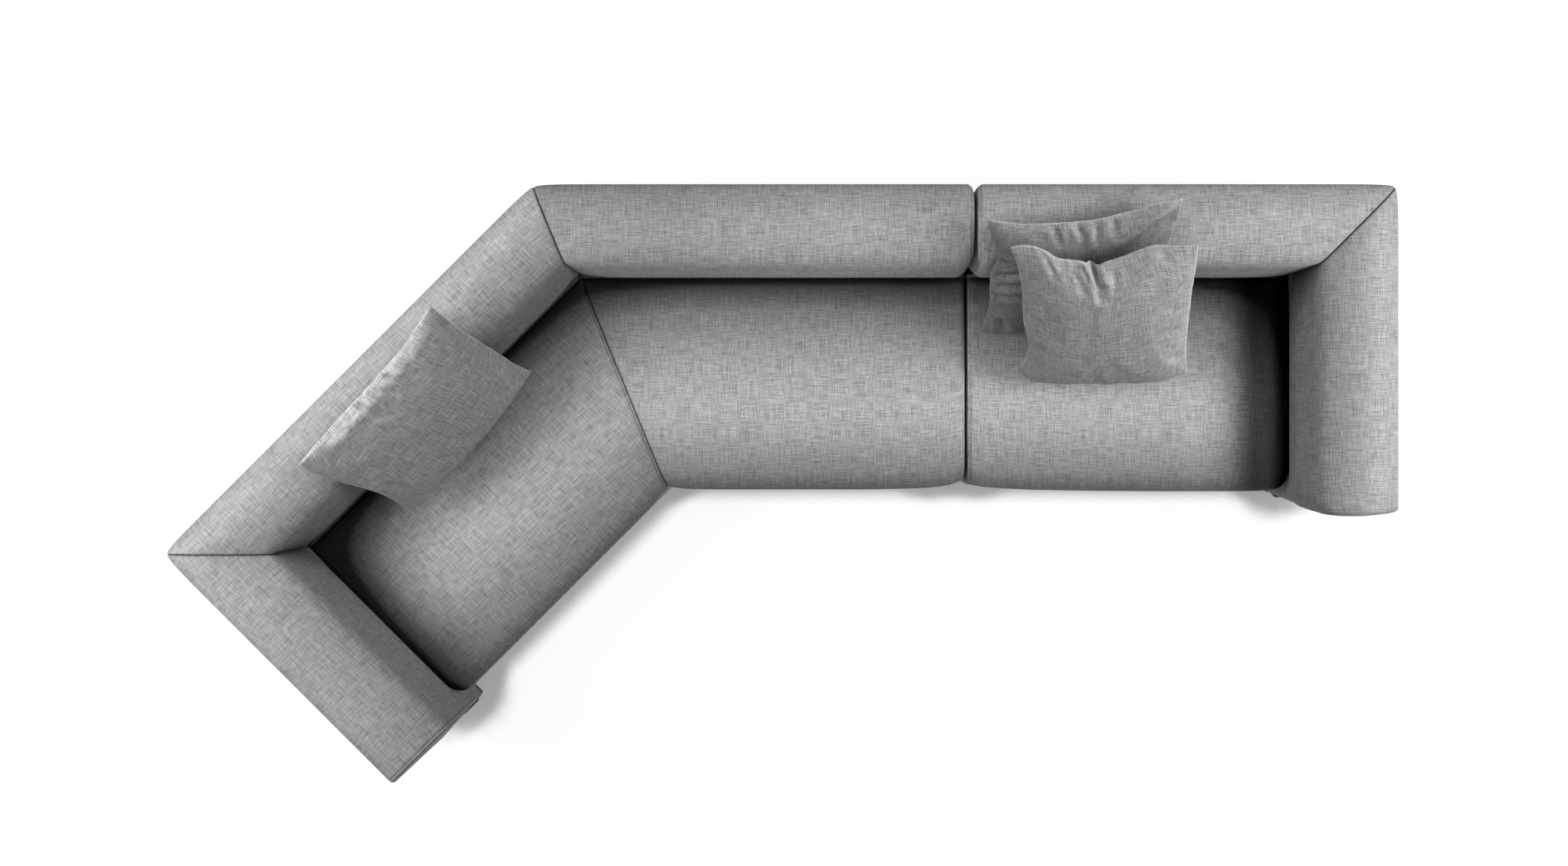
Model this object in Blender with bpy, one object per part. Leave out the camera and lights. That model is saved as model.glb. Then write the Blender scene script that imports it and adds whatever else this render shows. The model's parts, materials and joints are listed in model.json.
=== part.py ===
# Sectional sofa in two modules: a left module with an arm, an angled wing and a straight middle,
# and a right module with an arm, held to it by two pairs of sliding connectors.
# Metres, +Z up, front of the straight run towards -Y, origin on the floor at the middle of the plan.

import math

import bmesh
import bpy
from mathutils import Vector
from mathutils.bvhtree import BVHTree

# Driving sizes of the plan
WING_LENGTH = 1.639
MIDDLE_LENGTH = 1.393
RIGHT_LENGTH = 1.3255
MODULE_GAP = 0.010
BEND_ANGLE = math.radians(45)
SEAT_DEPTH = 0.972
ARM_OVERHANG = 0.056
BACK_THICKNESS = 0.25

# Driving sizes of the height
BACK_HEIGHT = 0.70
SEAT_HEIGHT = 0.425
LEG_HEIGHT = 0.12
DECK_HEIGHT = 0.235

# Clearances
SEAT_GAP = 0.0003

# Upholstery of the backs and arms
TOP_CROWN = 0.020
FACE_BULGE = 0.022
OUTER_DRAW = 0.006
SEAM_DIP = 0.010
OUTER_ROUND = 0.048
INNER_ROUND = 0.050
CORNER_ROUND = 0.040
END_TOP_SHARE = 0.45
END_FOOT_SHARE = 0.60
LEFT_ARM_FRONT_BULGE = 0.003
RIGHT_ARM_FRONT_BULGE = 0.013
OUTER_WADDING = 0.012
FACE_FOAM = 0.065
TOP_FOAM = 0.040
FRONT_FOAM = 0.030

# Seats
PAD_CROWN = 0.016
PAD_NOSE_REACH = 0.062
PAD_NOSE_DROP = 0.055
PAD_NOSE_STEPS = 6
PAD_NOSE_BULGE = 0.012
PAD_CORNER_ROUND = 0.050
BORDER_SETBACK = 0.012
BORDER_THICKNESS = 0.012
BORDER_CORNER_ROUND = 0.030

# Timber, springs and cloth
BOARD_THICKNESS = 0.018
RAIL_THICKNESS = 0.025
WIRE = 0.004
SPRING_WIDTH = 0.052
SPRING_PITCH = 0.055
SPRING_SPACING = 0.150
TIE_WIRE = 0.003
TIE_DISTANCE = 0.125
DUST_COVER = 0.0012
DUST_COVER_INSET = 0.020

# Legs
LEG_WIDTH = 0.060
LEG_EDGE = 0.004
LEG_PLATE_WIDTH = 0.090
LEG_PLATE = 0.003
GLIDE_WIDTH = 0.044
GLIDE_HEIGHT = 0.004
LEG_INSET = 0.1625
LEG_ARM_SETBACK = 0.062
LEG_GAP_INSET = 0.075
LEG_FRONT_INSET = 0.085

# Module connectors
CONNECTOR_FROM_LEG = 0.19
JAW_WIDTH = 0.056
JAW_DEPTH = 0.0095
JAW_LENGTH = 0.048
JAW_INSET = 0.014
JAW_FLANGE = 0.018
STRIP_STEEL = 0.0025
TONGUE_WIDTH = 0.044
TONGUE_REACH = 0.040
TONGUE_MOUNT = 0.060
TONGUE_DROP = 0.0042
TONGUE_LEAD = 0.008

# Scatter cushions
CUSHION_WIDTH = 0.620
FRONT_CUSHION_WIDTH = 0.555
CUSHION_HALF_THICKNESS = 0.062
REAR_CUSHION_HALF_THICKNESS = 0.047
SIDE_DRAW = 0.045
EDGE_HALF_THICKNESS = 0.0035
CUSHION_COLUMNS = 14
CUSHION_ROWS = 12
FOOT_RISE = 0.035
HEAD_RISE = 0.085
WING_CUSHION_REACH = 1.042
WING_CUSHION_TILT = 0.045
WING_CUSHION_TURN = 0.037
WING_CUSHION_BEND = (0.045, 0.065)
WING_FOOT_OUT = 0.180
WING_HEAD_OVER = 0.100
WING_HEAD_LIFT = 0.020
REAR_CUSHION_START = 0.006
REAR_CUSHION_TILT = 0.030
REAR_CUSHION_TURN = 0.065
REAR_CUSHION_BEND = (0.020, 0.080)
REAR_FOOT_OUT = 0.195
REAR_HEAD_OVER = 0.110
REAR_HEAD_LIFT = 0.010
FRONT_CUSHION_STEP = 0.135
FRONT_CUSHION_TILT = 0.080
FRONT_CUSHION_BEND = (0.010, 0.030)
FRONT_FOOT_OUT = 0.332
FRONT_FOOT_LIFT = 0.010
FRONT_HEAD_OVER = 0.022
FRONT_HEAD_LIFT = 0.060

# Sizes worked out from the ones above
ARM_LENGTH = SEAT_DEPTH + ARM_OVERHANG
CLOTH_BOTTOM = LEG_HEIGHT + SEAT_GAP
CLOTH_TOP = CLOTH_BOTTOM + DUST_COVER
RAIL_BOTTOM = CLOTH_TOP + SEAT_GAP
SPRING_BOTTOM = DECK_HEIGHT + SEAT_GAP
SPRING_TOP = SPRING_BOTTOM + WIRE
PAD_BOTTOM = SPRING_TOP + SEAT_GAP
CAVITY_TOP = BACK_HEIGHT - TOP_CROWN - TOP_FOAM
OUTER_BOARD_FACE = OUTER_WADDING + SEAT_GAP
CAVITY_INNER = BACK_THICKNESS - FACE_FOAM
INNER_BOARD_FACE = CAVITY_INNER - SEAT_GAP
REAR_RAIL_FACE = INNER_BOARD_FACE + SEAT_GAP
SPRING_REAR = REAR_RAIL_FACE + RAIL_THICKNESS / 3
BORDER_FACE = SEAT_DEPTH - BORDER_SETBACK
FRONT_RAIL_FACE = BORDER_FACE - BORDER_THICKNESS - SEAT_GAP
FRONT_RAIL_BACK = FRONT_RAIL_FACE - RAIL_THICKNESS
SPRING_FRONT = FRONT_RAIL_BACK + RAIL_THICKNESS * 2 / 3
SIDE_RAIL_REAR = REAR_RAIL_FACE + RAIL_THICKNESS + SEAT_GAP
SIDE_RAIL_FRONT = FRONT_RAIL_BACK - SEAT_GAP

CORNER_SLOPE = math.tan(math.radians(45))
BEND_SLOPE = math.tan(BEND_ANGLE / 2)


class Run:
    # A straight stretch in plan: u runs along its outer face, v goes in towards the seat.
    def __init__(self, start, heading, length):
        self.start = Vector(start)
        self.heading = heading
        self.along = Vector((math.cos(heading), math.sin(heading)))
        self.inward = Vector((math.sin(heading), -math.cos(heading)))
        self.length = length

    def point(self, u, v, z=0.0):
        flat = self.start + self.along * u + self.inward * v
        return Vector((flat.x, flat.y, z))


def heading_vector(angle):
    return Vector((math.cos(angle), math.sin(angle)))


LEFT_CORNER = -heading_vector(BEND_ANGLE) * WING_LENGTH
ARM_HEADING = BEND_ANGLE + math.radians(90)
GAP_X = MIDDLE_LENGTH + MODULE_GAP
WING = Run(LEFT_CORNER, BEND_ANGLE, WING_LENGTH)
MIDDLE = Run((0, 0), 0, MIDDLE_LENGTH)
LEFT_ARM = Run(LEFT_CORNER - heading_vector(ARM_HEADING) * ARM_LENGTH, ARM_HEADING, ARM_LENGTH)
RIGHT = Run((GAP_X, 0), 0, RIGHT_LENGTH)
RIGHT_ARM = Run((GAP_X + RIGHT_LENGTH, 0), math.radians(-90), ARM_LENGTH)
BEND = Run((0, 0), -(math.radians(90) - BEND_ANGLE / 2), SEAT_DEPTH)

for item in list(bpy.data.objects):
    bpy.data.objects.remove(item)


def make_material(name, colour, roughness, metallic=0.0):
    made = bpy.data.materials.new(name)
    made.use_nodes = True
    shader = made.node_tree.nodes["Principled BSDF"]
    shader.inputs["Base Color"].default_value = (*colour, 1)
    shader.inputs["Roughness"].default_value = roughness
    shader.inputs["Metallic"].default_value = metallic
    return made


GREY_WEAVE = make_material("grey linen weave", (0.42, 0.42, 0.42), 0.9)
CUSHION_WEAVE = make_material("cushion weave", (0.36, 0.36, 0.36), 0.9)
TIMBER = make_material("beech rail", (0.62, 0.45, 0.28), 0.6)
PLYWOOD = make_material("birch plywood", (0.70, 0.56, 0.38), 0.6)
SPRING_STEEL = make_material("spring steel", (0.45, 0.45, 0.46), 0.35, 1.0)
CONNECTOR_STEEL = make_material("zinc plated steel", (0.62, 0.63, 0.65), 0.3, 1.0)
LEG_PAINT = make_material("black powder coat", (0.02, 0.02, 0.02), 0.5)
DUST_CLOTH = make_material("black dust cloth", (0.03, 0.03, 0.03), 0.95)


def add_object(name, mesh, material, parent, smooth=True):
    data = bpy.data.meshes.new(name)
    mesh.to_mesh(data)
    mesh.free()
    if smooth:
        data.shade_smooth()
        data.set_sharp_from_angle(angle=math.radians(40))
    made = bpy.data.objects.new(name, data)
    made.data.materials.append(material)
    made.parent = parent
    bpy.context.collection.objects.link(made)
    return made


def add_empty(name, parent=None):
    made = bpy.data.objects.new(name, None)
    made.parent = parent
    bpy.context.collection.objects.link(made)
    return made


SOFA = add_empty("sofa_origin")
LEFT_MODULE = add_empty("left_module", SOFA)
RIGHT_MODULE = add_empty("right_module", SOFA)


def join_rings(mesh, rings):
    # Closed skin through rings of equal count, with flat ends.
    loops = [[mesh.verts.new(point) for point in ring] for ring in rings]
    for near, far in zip(loops, loops[1:]):
        for i in range(len(near)):
            j = (i + 1) % len(near)
            mesh.faces.new((near[i], near[j], far[j], far[i]))
    mesh.faces.new(loops[0])
    mesh.faces.new(loops[-1])


def close(mesh):
    bmesh.ops.recalc_face_normals(mesh, faces=mesh.faces)
    bmesh.ops.triangulate(mesh, faces=mesh.faces)


def loft(name, material, parent, rings):
    mesh = bmesh.new()
    join_rings(mesh, rings)
    close(mesh)
    return add_object(name, mesh, material, parent)


def slab(name, material, parent, outline, low, high):
    # Upright extrusion of a plan outline.
    rings = [[Vector((p.x, p.y, z)) for p in outline] for z in (low, high)]
    mesh = bmesh.new()
    join_rings(mesh, rings)
    close(mesh)
    return add_object(name, mesh, material, parent, smooth=False)


def block(name, material, parent, run, u_span, v_span, z_span, slopes=(0, 0)):
    # Straight timber along a run, its ends cut to the mitres given by the slopes.
    rings = []
    for end in (0, 1):
        ring = []
        for v, z in ((v_span[0], z_span[0]), (v_span[0], z_span[1]),
                     (v_span[1], z_span[1]), (v_span[1], z_span[0])):
            u = u_span[0] + v * slopes[0] if end == 0 else u_span[1] - v * slopes[1]
            ring.append(run.point(u, v, z))
        rings.append(ring)
    mesh = bmesh.new()
    join_rings(mesh, rings)
    close(mesh)
    return add_object(name, mesh, material, parent, smooth=False)


def cut(target, cutter, operation="DIFFERENCE"):
    cutter.hide_render = True
    cutter.display_type = "WIRE"
    modifier = target.modifiers.new(cutter.name, "BOOLEAN")
    modifier.operation = operation
    modifier.object = cutter
    modifier.solver = "EXACT"


# Stations along a run: which end they count from, how far, how full the padding is, how far it is inset

def seam_stations(end):
    side = -1 if end else 1
    steps = ((0.0, 0.0), (0.022, 0.55), (0.070, 0.85), (0.170, 1.0))
    return [(end, side * away, full, 0.0) for away, full in steps]


def free_stations(end, radius, bulge=0.0):
    # A rounded end; with a bulge, the end panel crowns outwards.
    side = -1 if end else 1
    stations = []
    if bulge:
        stations.append((end, -side * bulge, 1.0, radius * 2.3))
        stations.append((end, -side * bulge * 0.7, 1.0, radius * 1.4))
    for share in (0.0, 0.3, 1.0):
        inset = radius - math.sqrt(radius ** 2 - (radius * (1 - share)) ** 2)
        stations.append((end, side * radius * share, 1.0, inset))
    return stations


def run_rings(run, starts, ends, section, slopes=(0, 0), offsets=(0, 0)):
    rings = []
    for end, away, full, inset in starts + [(0.5, 0.0, 1.0, 0.0)] + ends[::-1]:
        ring = []
        for v, z in section(full, inset):
            low = offsets[0] + v * slopes[0]
            high = run.length - offsets[1] - v * slopes[1]
            ring.append(run.point(low + (high - low) * end + away, v, z))
        rings.append(ring)
    return rings


def arc(centre, radius, start, end, steps):
    # Points of a round edge, angles in degrees
    points = []
    for i in range(steps + 1):
        angle = math.radians(start + (end - start) * i / steps)
        points.append((centre[0] + radius * math.cos(angle), centre[1] + radius * math.sin(angle)))
    return points


def back_section(full, inset):
    # Outline of a padded back or arm across its run: outer face at v = 0, inner face towards the seat.
    outer = OUTER_DRAW * (1 - full) + inset
    inner = BACK_THICKNESS - inset
    top = BACK_HEIGHT - TOP_CROWN - SEAM_DIP * (1 - full) - inset * END_TOP_SHARE
    bulge = FACE_BULGE * full
    points = [(outer, RAIL_BOTTOM)]
    points += arc((outer + OUTER_ROUND, top - OUTER_ROUND), OUTER_ROUND, 180, 90, 3)
    for share in (0.33, 0.66):
        v = outer + OUTER_ROUND + share * (inner - INNER_ROUND - outer - OUTER_ROUND)
        points.append((v, top + TOP_CROWN * full))
    points += arc((inner + bulge * 0.6 - INNER_ROUND, top - INNER_ROUND), INNER_ROUND, 90, 0, 4)
    points.append((inner + bulge, (top + SEAT_HEIGHT) / 2))
    points.append((inner + bulge * 0.8, SEAT_HEIGHT + PAD_CROWN * 2.5))
    points.append((inner, SEAT_HEIGHT + SEAT_GAP))
    points.append((inner - inset * END_FOOT_SHARE, RAIL_BOTTOM))
    return points


def pad_section(full, inset):
    # Outline of a seat pad across its run, from the back's face to the rolled nose.
    rear = BACK_THICKNESS + SEAT_GAP
    front = SEAT_DEPTH - PAD_NOSE_BULGE * (1 - full) - inset
    top = SEAT_HEIGHT - PAD_CROWN + PAD_CROWN * (full - 1) * 0.6 - inset * END_TOP_SHARE
    points = [(rear, PAD_BOTTOM), (rear, top)]
    for share in (0.12, 0.35, 0.65, 0.88):
        v = rear + share * (front - PAD_NOSE_REACH - rear)
        points.append((v, top + PAD_CROWN * (1 - (1 - share) ** 4)))
    high = top + PAD_CROWN
    for reach, height in arc((0, 0), 1, 90, 0, PAD_NOSE_STEPS):
        v = front - PAD_NOSE_REACH * (1 - reach)
        points.append((v, high - PAD_NOSE_DROP * (1 - height)))
    points.append((front - PAD_NOSE_BULGE / 3, PAD_BOTTOM + 0.035))
    points.append((front - PAD_NOSE_BULGE * 2, PAD_BOTTOM))
    return points


def upholstered_run(name, parent, run, starts, ends, slopes, cavity_ends, deck_ends):
    # Foam and cover as one hollow shell, open below, with room for the timber beam inside.
    shell = loft(name, GREY_WEAVE, parent,
                 run_rings(run, starts, ends, back_section, slopes, (SEAT_GAP, SEAT_GAP)))
    below = LEG_HEIGHT - 0.01
    cavity = block(name + "_cavity", GREY_WEAVE, parent, run,
                   (cavity_ends[0], run.length - cavity_ends[1]), (OUTER_WADDING, CAVITY_INNER),
                   (below, CAVITY_TOP), slopes)
    deck = block(name + "_deck_cut", GREY_WEAVE, parent, run,
                 (deck_ends[0], run.length - deck_ends[1]),
                 (CAVITY_INNER - 0.01, BACK_THICKNESS + 0.02), (below, PAD_BOTTOM), slopes)
    cut(shell, cavity)
    cut(shell, deck)
    return shell


def timber_beam(prefix, parent, run, slopes, ends):
    # Outer board, inner board and top rail of one back or arm.
    span = (ends[0], run.length - ends[1])
    low, high = RAIL_BOTTOM, CAVITY_TOP - SEAT_GAP
    outer = (OUTER_BOARD_FACE, OUTER_BOARD_FACE + BOARD_THICKNESS)
    inner = (INNER_BOARD_FACE - BOARD_THICKNESS, INNER_BOARD_FACE)
    block(prefix + "_outer_board", PLYWOOD, parent, run, span, outer, (low, high), slopes)
    block(prefix + "_inner_board", PLYWOOD, parent, run, span, inner, (low, high), slopes)
    block(prefix + "_top_rail", TIMBER, parent, run, span,
          (outer[1] + SEAT_GAP, inner[0] - SEAT_GAP), (high - BOARD_THICKNESS, high), slopes)


PAST = -0.01
CLOSED = CORNER_ROUND * 0.6
BOARD_END = CLOSED + SEAT_GAP
DECK_END = BORDER_THICKNESS
FRONT_CAVITY = FRONT_FOAM
FRONT_BOARD = FRONT_FOAM + SEAT_GAP
DECK_FRONT = ARM_LENGTH - (BORDER_FACE - BORDER_THICKNESS)
LEFT_ARM_FRONT = free_stations(0, CORNER_ROUND, LEFT_ARM_FRONT_BULGE)
RIGHT_ARM_FRONT = free_stations(1, CORNER_ROUND, RIGHT_ARM_FRONT_BULGE)

upholstered_run("left_arm_upholstery", LEFT_MODULE, LEFT_ARM, LEFT_ARM_FRONT, seam_stations(1),
                (0, CORNER_SLOPE), (FRONT_CAVITY, PAST), (DECK_FRONT, PAST))
upholstered_run("wing_back_upholstery", LEFT_MODULE, WING, seam_stations(0), seam_stations(1),
                (CORNER_SLOPE, BEND_SLOPE), (PAST, PAST), (PAST, PAST))
upholstered_run("middle_back_upholstery", LEFT_MODULE, MIDDLE, seam_stations(0),
                free_stations(1, CORNER_ROUND), (BEND_SLOPE, 0), (PAST, CLOSED), (PAST, DECK_END))
upholstered_run("right_back_upholstery", RIGHT_MODULE, RIGHT, free_stations(0, CORNER_ROUND),
                seam_stations(1), (0, CORNER_SLOPE), (CLOSED, PAST), (DECK_END, PAST))
upholstered_run("right_arm_upholstery", RIGHT_MODULE, RIGHT_ARM, seam_stations(0), RIGHT_ARM_FRONT,
                (CORNER_SLOPE, 0), (PAST, FRONT_CAVITY), (PAST, DECK_FRONT))

timber_beam("left_arm", LEFT_MODULE, LEFT_ARM, (0, CORNER_SLOPE), (FRONT_BOARD, SEAT_GAP))
timber_beam("wing_back", LEFT_MODULE, WING, (CORNER_SLOPE, BEND_SLOPE), (SEAT_GAP, SEAT_GAP))
timber_beam("middle_back", LEFT_MODULE, MIDDLE, (BEND_SLOPE, 0), (SEAT_GAP, BOARD_END))
timber_beam("right_back", RIGHT_MODULE, RIGHT, (0, CORNER_SLOPE), (BOARD_END, SEAT_GAP))
timber_beam("right_arm", RIGHT_MODULE, RIGHT_ARM, (CORNER_SLOPE, 0), (SEAT_GAP, FRONT_BOARD))

# Seat pads

ARM_SIDE = BACK_THICKNESS + SEAT_GAP
WING_PAD = loft("wing_seat_pad", GREY_WEAVE, LEFT_MODULE,
                run_rings(WING, seam_stations(0), seam_stations(1), pad_section,
                          (0, BEND_SLOPE), (ARM_SIDE, SEAT_GAP)))
MIDDLE_PAD = loft("middle_seat_pad", GREY_WEAVE, LEFT_MODULE,
                  run_rings(MIDDLE, seam_stations(0), free_stations(1, PAD_CORNER_ROUND), pad_section,
                            (BEND_SLOPE, 0), (SEAT_GAP, 0)))
RIGHT_PAD = loft("right_seat_pad", GREY_WEAVE, RIGHT_MODULE,
                 run_rings(RIGHT, free_stations(0, PAD_CORNER_ROUND), seam_stations(1), pad_section,
                           (0, 0), (0, ARM_SIDE)))

# Front borders, which also wrap the sides at the module gap

def plan_arc(run, u, v, radius, start, end, steps=4):
    return [run.point(*p) for p in arc((u, v), radius, start, end, steps)]


def border(name, parent, outer, inner):
    slab(name, GREY_WEAVE, parent, outer + inner[::-1], RAIL_BOTTOM, SPRING_TOP)


BORDER_BACK = BORDER_FACE - BORDER_THICKNESS
INNER_CORNER = BORDER_CORNER_ROUND - BORDER_THICKNESS
GAP_SIDE_REAR = BACK_THICKNESS + SEAT_GAP

border("wing_front_border", LEFT_MODULE,
       [WING.point(ARM_SIDE, BORDER_FACE),
        WING.point(WING.length - SEAT_GAP - BORDER_FACE * BEND_SLOPE, BORDER_FACE)],
       [WING.point(ARM_SIDE, BORDER_BACK),
        WING.point(WING.length - SEAT_GAP - BORDER_BACK * BEND_SLOPE, BORDER_BACK)])
corner_v = BORDER_FACE - BORDER_CORNER_ROUND
middle_u = MIDDLE.length - BORDER_CORNER_ROUND
border("middle_border", LEFT_MODULE,
       [MIDDLE.point(SEAT_GAP + BORDER_FACE * BEND_SLOPE, BORDER_FACE)]
       + plan_arc(MIDDLE, middle_u, corner_v, BORDER_CORNER_ROUND, 90, 0)
       + [MIDDLE.point(MIDDLE.length, GAP_SIDE_REAR)],
       [MIDDLE.point(SEAT_GAP + BORDER_BACK * BEND_SLOPE, BORDER_BACK)]
       + plan_arc(MIDDLE, middle_u, corner_v, INNER_CORNER, 90, 0)
       + [MIDDLE.point(MIDDLE.length - BORDER_THICKNESS, GAP_SIDE_REAR)])
border("right_border", RIGHT_MODULE,
       [RIGHT.point(0, GAP_SIDE_REAR)]
       + plan_arc(RIGHT, BORDER_CORNER_ROUND, corner_v, BORDER_CORNER_ROUND, 180, 90)
       + [RIGHT.point(RIGHT.length - ARM_SIDE, BORDER_FACE)],
       [RIGHT.point(BORDER_THICKNESS, GAP_SIDE_REAR)]
       + plan_arc(RIGHT, BORDER_CORNER_ROUND, corner_v, INNER_CORNER, 180, 90)
       + [RIGHT.point(RIGHT.length - ARM_SIDE, BORDER_BACK)])

# Seat frame rails

RAIL_Z = (RAIL_BOTTOM, DECK_HEIGHT)
REAR_RAIL = (REAR_RAIL_FACE, REAR_RAIL_FACE + RAIL_THICKNESS)
FRONT_RAIL = (FRONT_RAIL_BACK, FRONT_RAIL_FACE)
SIDE_SPAN = (SIDE_RAIL_REAR, SIDE_RAIL_FRONT)
ARM_RAIL = (REAR_RAIL_FACE, REAR_RAIL_FACE + RAIL_THICKNESS)
GAP_RAIL = BORDER_THICKNESS + SEAT_GAP


def rail(name, parent, run, u_span, v_span, slopes=(0, 0)):
    block(name, TIMBER, parent, run, u_span, v_span, RAIL_Z, slopes)


wing_end = WING.length - SEAT_GAP
rail("wing_rear_rail", LEFT_MODULE, WING, (REAR_RAIL_FACE, wing_end), REAR_RAIL, (0, BEND_SLOPE))
rail("wing_front_rail", LEFT_MODULE, WING, (REAR_RAIL_FACE, wing_end), FRONT_RAIL, (0, BEND_SLOPE))
middle_end = MIDDLE.length - GAP_RAIL
rail("middle_rear_rail", LEFT_MODULE, MIDDLE, (SEAT_GAP, middle_end), REAR_RAIL, (BEND_SLOPE, 0))
middle_front_end = MIDDLE.length - BORDER_CORNER_ROUND
rail("middle_front_rail", LEFT_MODULE, MIDDLE, (SEAT_GAP, middle_front_end), FRONT_RAIL, (BEND_SLOPE, 0))
rail("left_arm_side_rail", LEFT_MODULE, WING, ARM_RAIL, SIDE_SPAN)
rail("left_gap_rail", LEFT_MODULE, MIDDLE, (middle_end - RAIL_THICKNESS, middle_end), SIDE_SPAN)
half = RAIL_THICKNESS / 2
bend_lean = half * math.sin(BEND_ANGLE / 2)
bend_cos = math.cos(BEND_ANGLE / 2)
rail("bend_stretcher", LEFT_MODULE, BEND,
     ((SIDE_RAIL_REAR + bend_lean) / bend_cos, (SIDE_RAIL_FRONT - bend_lean) / bend_cos), (-half, half))
right_end = RIGHT.length - REAR_RAIL_FACE
rail("right_rear_rail", RIGHT_MODULE, RIGHT, (GAP_RAIL, right_end), REAR_RAIL)
rail("right_front_rail", RIGHT_MODULE, RIGHT, (BORDER_CORNER_ROUND, right_end), FRONT_RAIL)
rail("right_gap_rail", RIGHT_MODULE, RIGHT, (GAP_RAIL, GAP_RAIL + RAIL_THICKNESS), SIDE_SPAN)
rail("right_arm_side_rail", RIGHT_MODULE, RIGHT, (right_end - RAIL_THICKNESS, right_end), SIDE_SPAN)

# Sinuous springs

def ribbon_of(mesh, path, width, low, high):
    # A wire of rectangular section along a plan path.
    rings = []
    for i, point in enumerate(path):
        before = (point - path[i - 1]).normalized() if i else None
        after = (path[i + 1] - point).normalized() if i + 1 < len(path) else None
        ways = [way for way in (before, after) if way]
        way = sum(ways, Vector((0, 0))).normalized()
        side = Vector((-way.y, way.x)) * width / 2 / max(0.65, way.dot(ways[0]))
        left, right = point + side, point - side
        rings.append([Vector((left.x, left.y, low)), Vector((left.x, left.y, high)),
                      Vector((right.x, right.y, high)), Vector((right.x, right.y, low))])
    join_rings(mesh, rings)


def spring_path(run, u, rear, front):
    # Zigzag across u while it goes from the rear rail to the front rail.
    turns = max(2, round((front - rear) / SPRING_PITCH))
    pitch = (front - rear) / turns
    path = []
    for i in range(3 * turns + 1):
        swing = math.cos(math.pi * i / 3) * 1.5
        across = SPRING_WIDTH / 2 * max(-1.0, min(1.0, swing))
        path.append(run.point(u + across, rear + pitch * i / 3).to_2d())
    return path


def spring_deck(name, parent, run, u_span, bend_distance=None):
    # Springs on the rails, held at their spacing by a tie wire. Beside the bend they end on the stretcher.
    mesh = bmesh.new()
    length = u_span[1] - u_span[0]
    count = max(2, round(length / SPRING_SPACING))
    places = [u_span[0] + length * (i + 0.5) / count for i in range(count)]
    for u in places:
        front = SPRING_FRONT
        if bend_distance:
            front = min(front, (bend_distance(u) - SPRING_WIDTH / 2 - WIRE) / BEND_SLOPE)
        ribbon_of(mesh, spring_path(run, u, SPRING_REAR, front), WIRE, SPRING_BOTTOM, SPRING_TOP)
    close(mesh)
    deck = add_object(name, mesh, SPRING_STEEL, parent, smooth=False)
    tie_mesh = bmesh.new()
    middle_z = (SPRING_BOTTOM + SPRING_TOP) / 2
    tie = [run.point(u, SPRING_REAR + TIE_DISTANCE).to_2d()
           for u in (places[0] - SPRING_WIDTH, places[-1] + SPRING_WIDTH)]
    ribbon_of(tie_mesh, tie, TIE_WIRE, middle_z - TIE_WIRE / 2, middle_z + TIE_WIRE / 2)
    close(tie_mesh)
    cut(deck, add_object(name + "_tie_wire", tie_mesh, SPRING_STEEL, parent, smooth=False), "UNION")


first_u = SIDE_RAIL_REAR * BEND_SLOPE + SPRING_WIDTH
spring_deck("middle_springs", LEFT_MODULE, MIDDLE, (first_u, middle_end - RAIL_THICKNESS), lambda u: u)
spring_deck("wing_springs", LEFT_MODULE, WING,
            (SIDE_RAIL_REAR, WING.length - first_u), lambda u: WING.length - u)
spring_deck("right_springs", RIGHT_MODULE, RIGHT,
            (GAP_RAIL + RAIL_THICKNESS, right_end - RAIL_THICKNESS))

# Dust covers

def outline_between(run, u_low, u_high, v_low, v_high, slopes):
    return [run.point(u_low + v_low * slopes[0], v_low), run.point(u_high - v_low * slopes[1], v_low),
            run.point(u_high - v_high * slopes[1], v_high), run.point(u_low + v_high * slopes[0], v_high)]


DUST_V = (DUST_COVER_INSET, BORDER_BACK - SEAT_GAP)
slab("wing_dust_cover", DUST_CLOTH, LEFT_MODULE,
     outline_between(WING, DUST_COVER_INSET, WING.length - SEAT_GAP, *DUST_V, (0, BEND_SLOPE)),
     CLOTH_BOTTOM, CLOTH_TOP)
slab("middle_dust_cover", DUST_CLOTH, LEFT_MODULE,
     outline_between(MIDDLE, SEAT_GAP, MIDDLE.length - DUST_COVER_INSET, *DUST_V, (BEND_SLOPE, 0)),
     CLOTH_BOTTOM, CLOTH_TOP)
slab("right_dust_cover", DUST_CLOTH, RIGHT_MODULE,
     outline_between(RIGHT, DUST_COVER_INSET, RIGHT.length - DUST_COVER_INSET, *DUST_V, (0, 0)),
     CLOTH_BOTTOM, CLOTH_TOP)

# Legs

def square_ring(run, u, v, width, z, edge=0.0):
    h = width / 2
    corners = [(-h + edge, -h), (h - edge, -h), (h, -h + edge), (h, h - edge),
               (h - edge, h), (-h + edge, h), (-h, h - edge), (-h, -h + edge)]
    return [run.point(u + a, v + b, z) for a, b in corners]


def leg(name, parent, run, u, v):
    # A square tube leg welded to a screw plate, with a glide under it.
    plate_bottom = LEG_HEIGHT - LEG_PLATE
    rings = [square_ring(run, u, v, LEG_PLATE_WIDTH, LEG_HEIGHT, LEG_PLATE_WIDTH / 8),
             square_ring(run, u, v, LEG_PLATE_WIDTH, plate_bottom, LEG_PLATE_WIDTH / 8),
             square_ring(run, u, v, LEG_WIDTH, plate_bottom - 0.0005, LEG_EDGE),
             square_ring(run, u, v, LEG_WIDTH, GLIDE_HEIGHT, LEG_EDGE),
             square_ring(run, u, v, GLIDE_WIDTH, GLIDE_HEIGHT - 0.0005, GLIDE_WIDTH / 4),
             square_ring(run, u, v, GLIDE_WIDTH, 0, GLIDE_WIDTH / 4)]
    mesh = bmesh.new()
    join_rings(mesh, rings)
    close(mesh)
    add_object(name, mesh, LEG_PAINT, parent, smooth=False)


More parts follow.
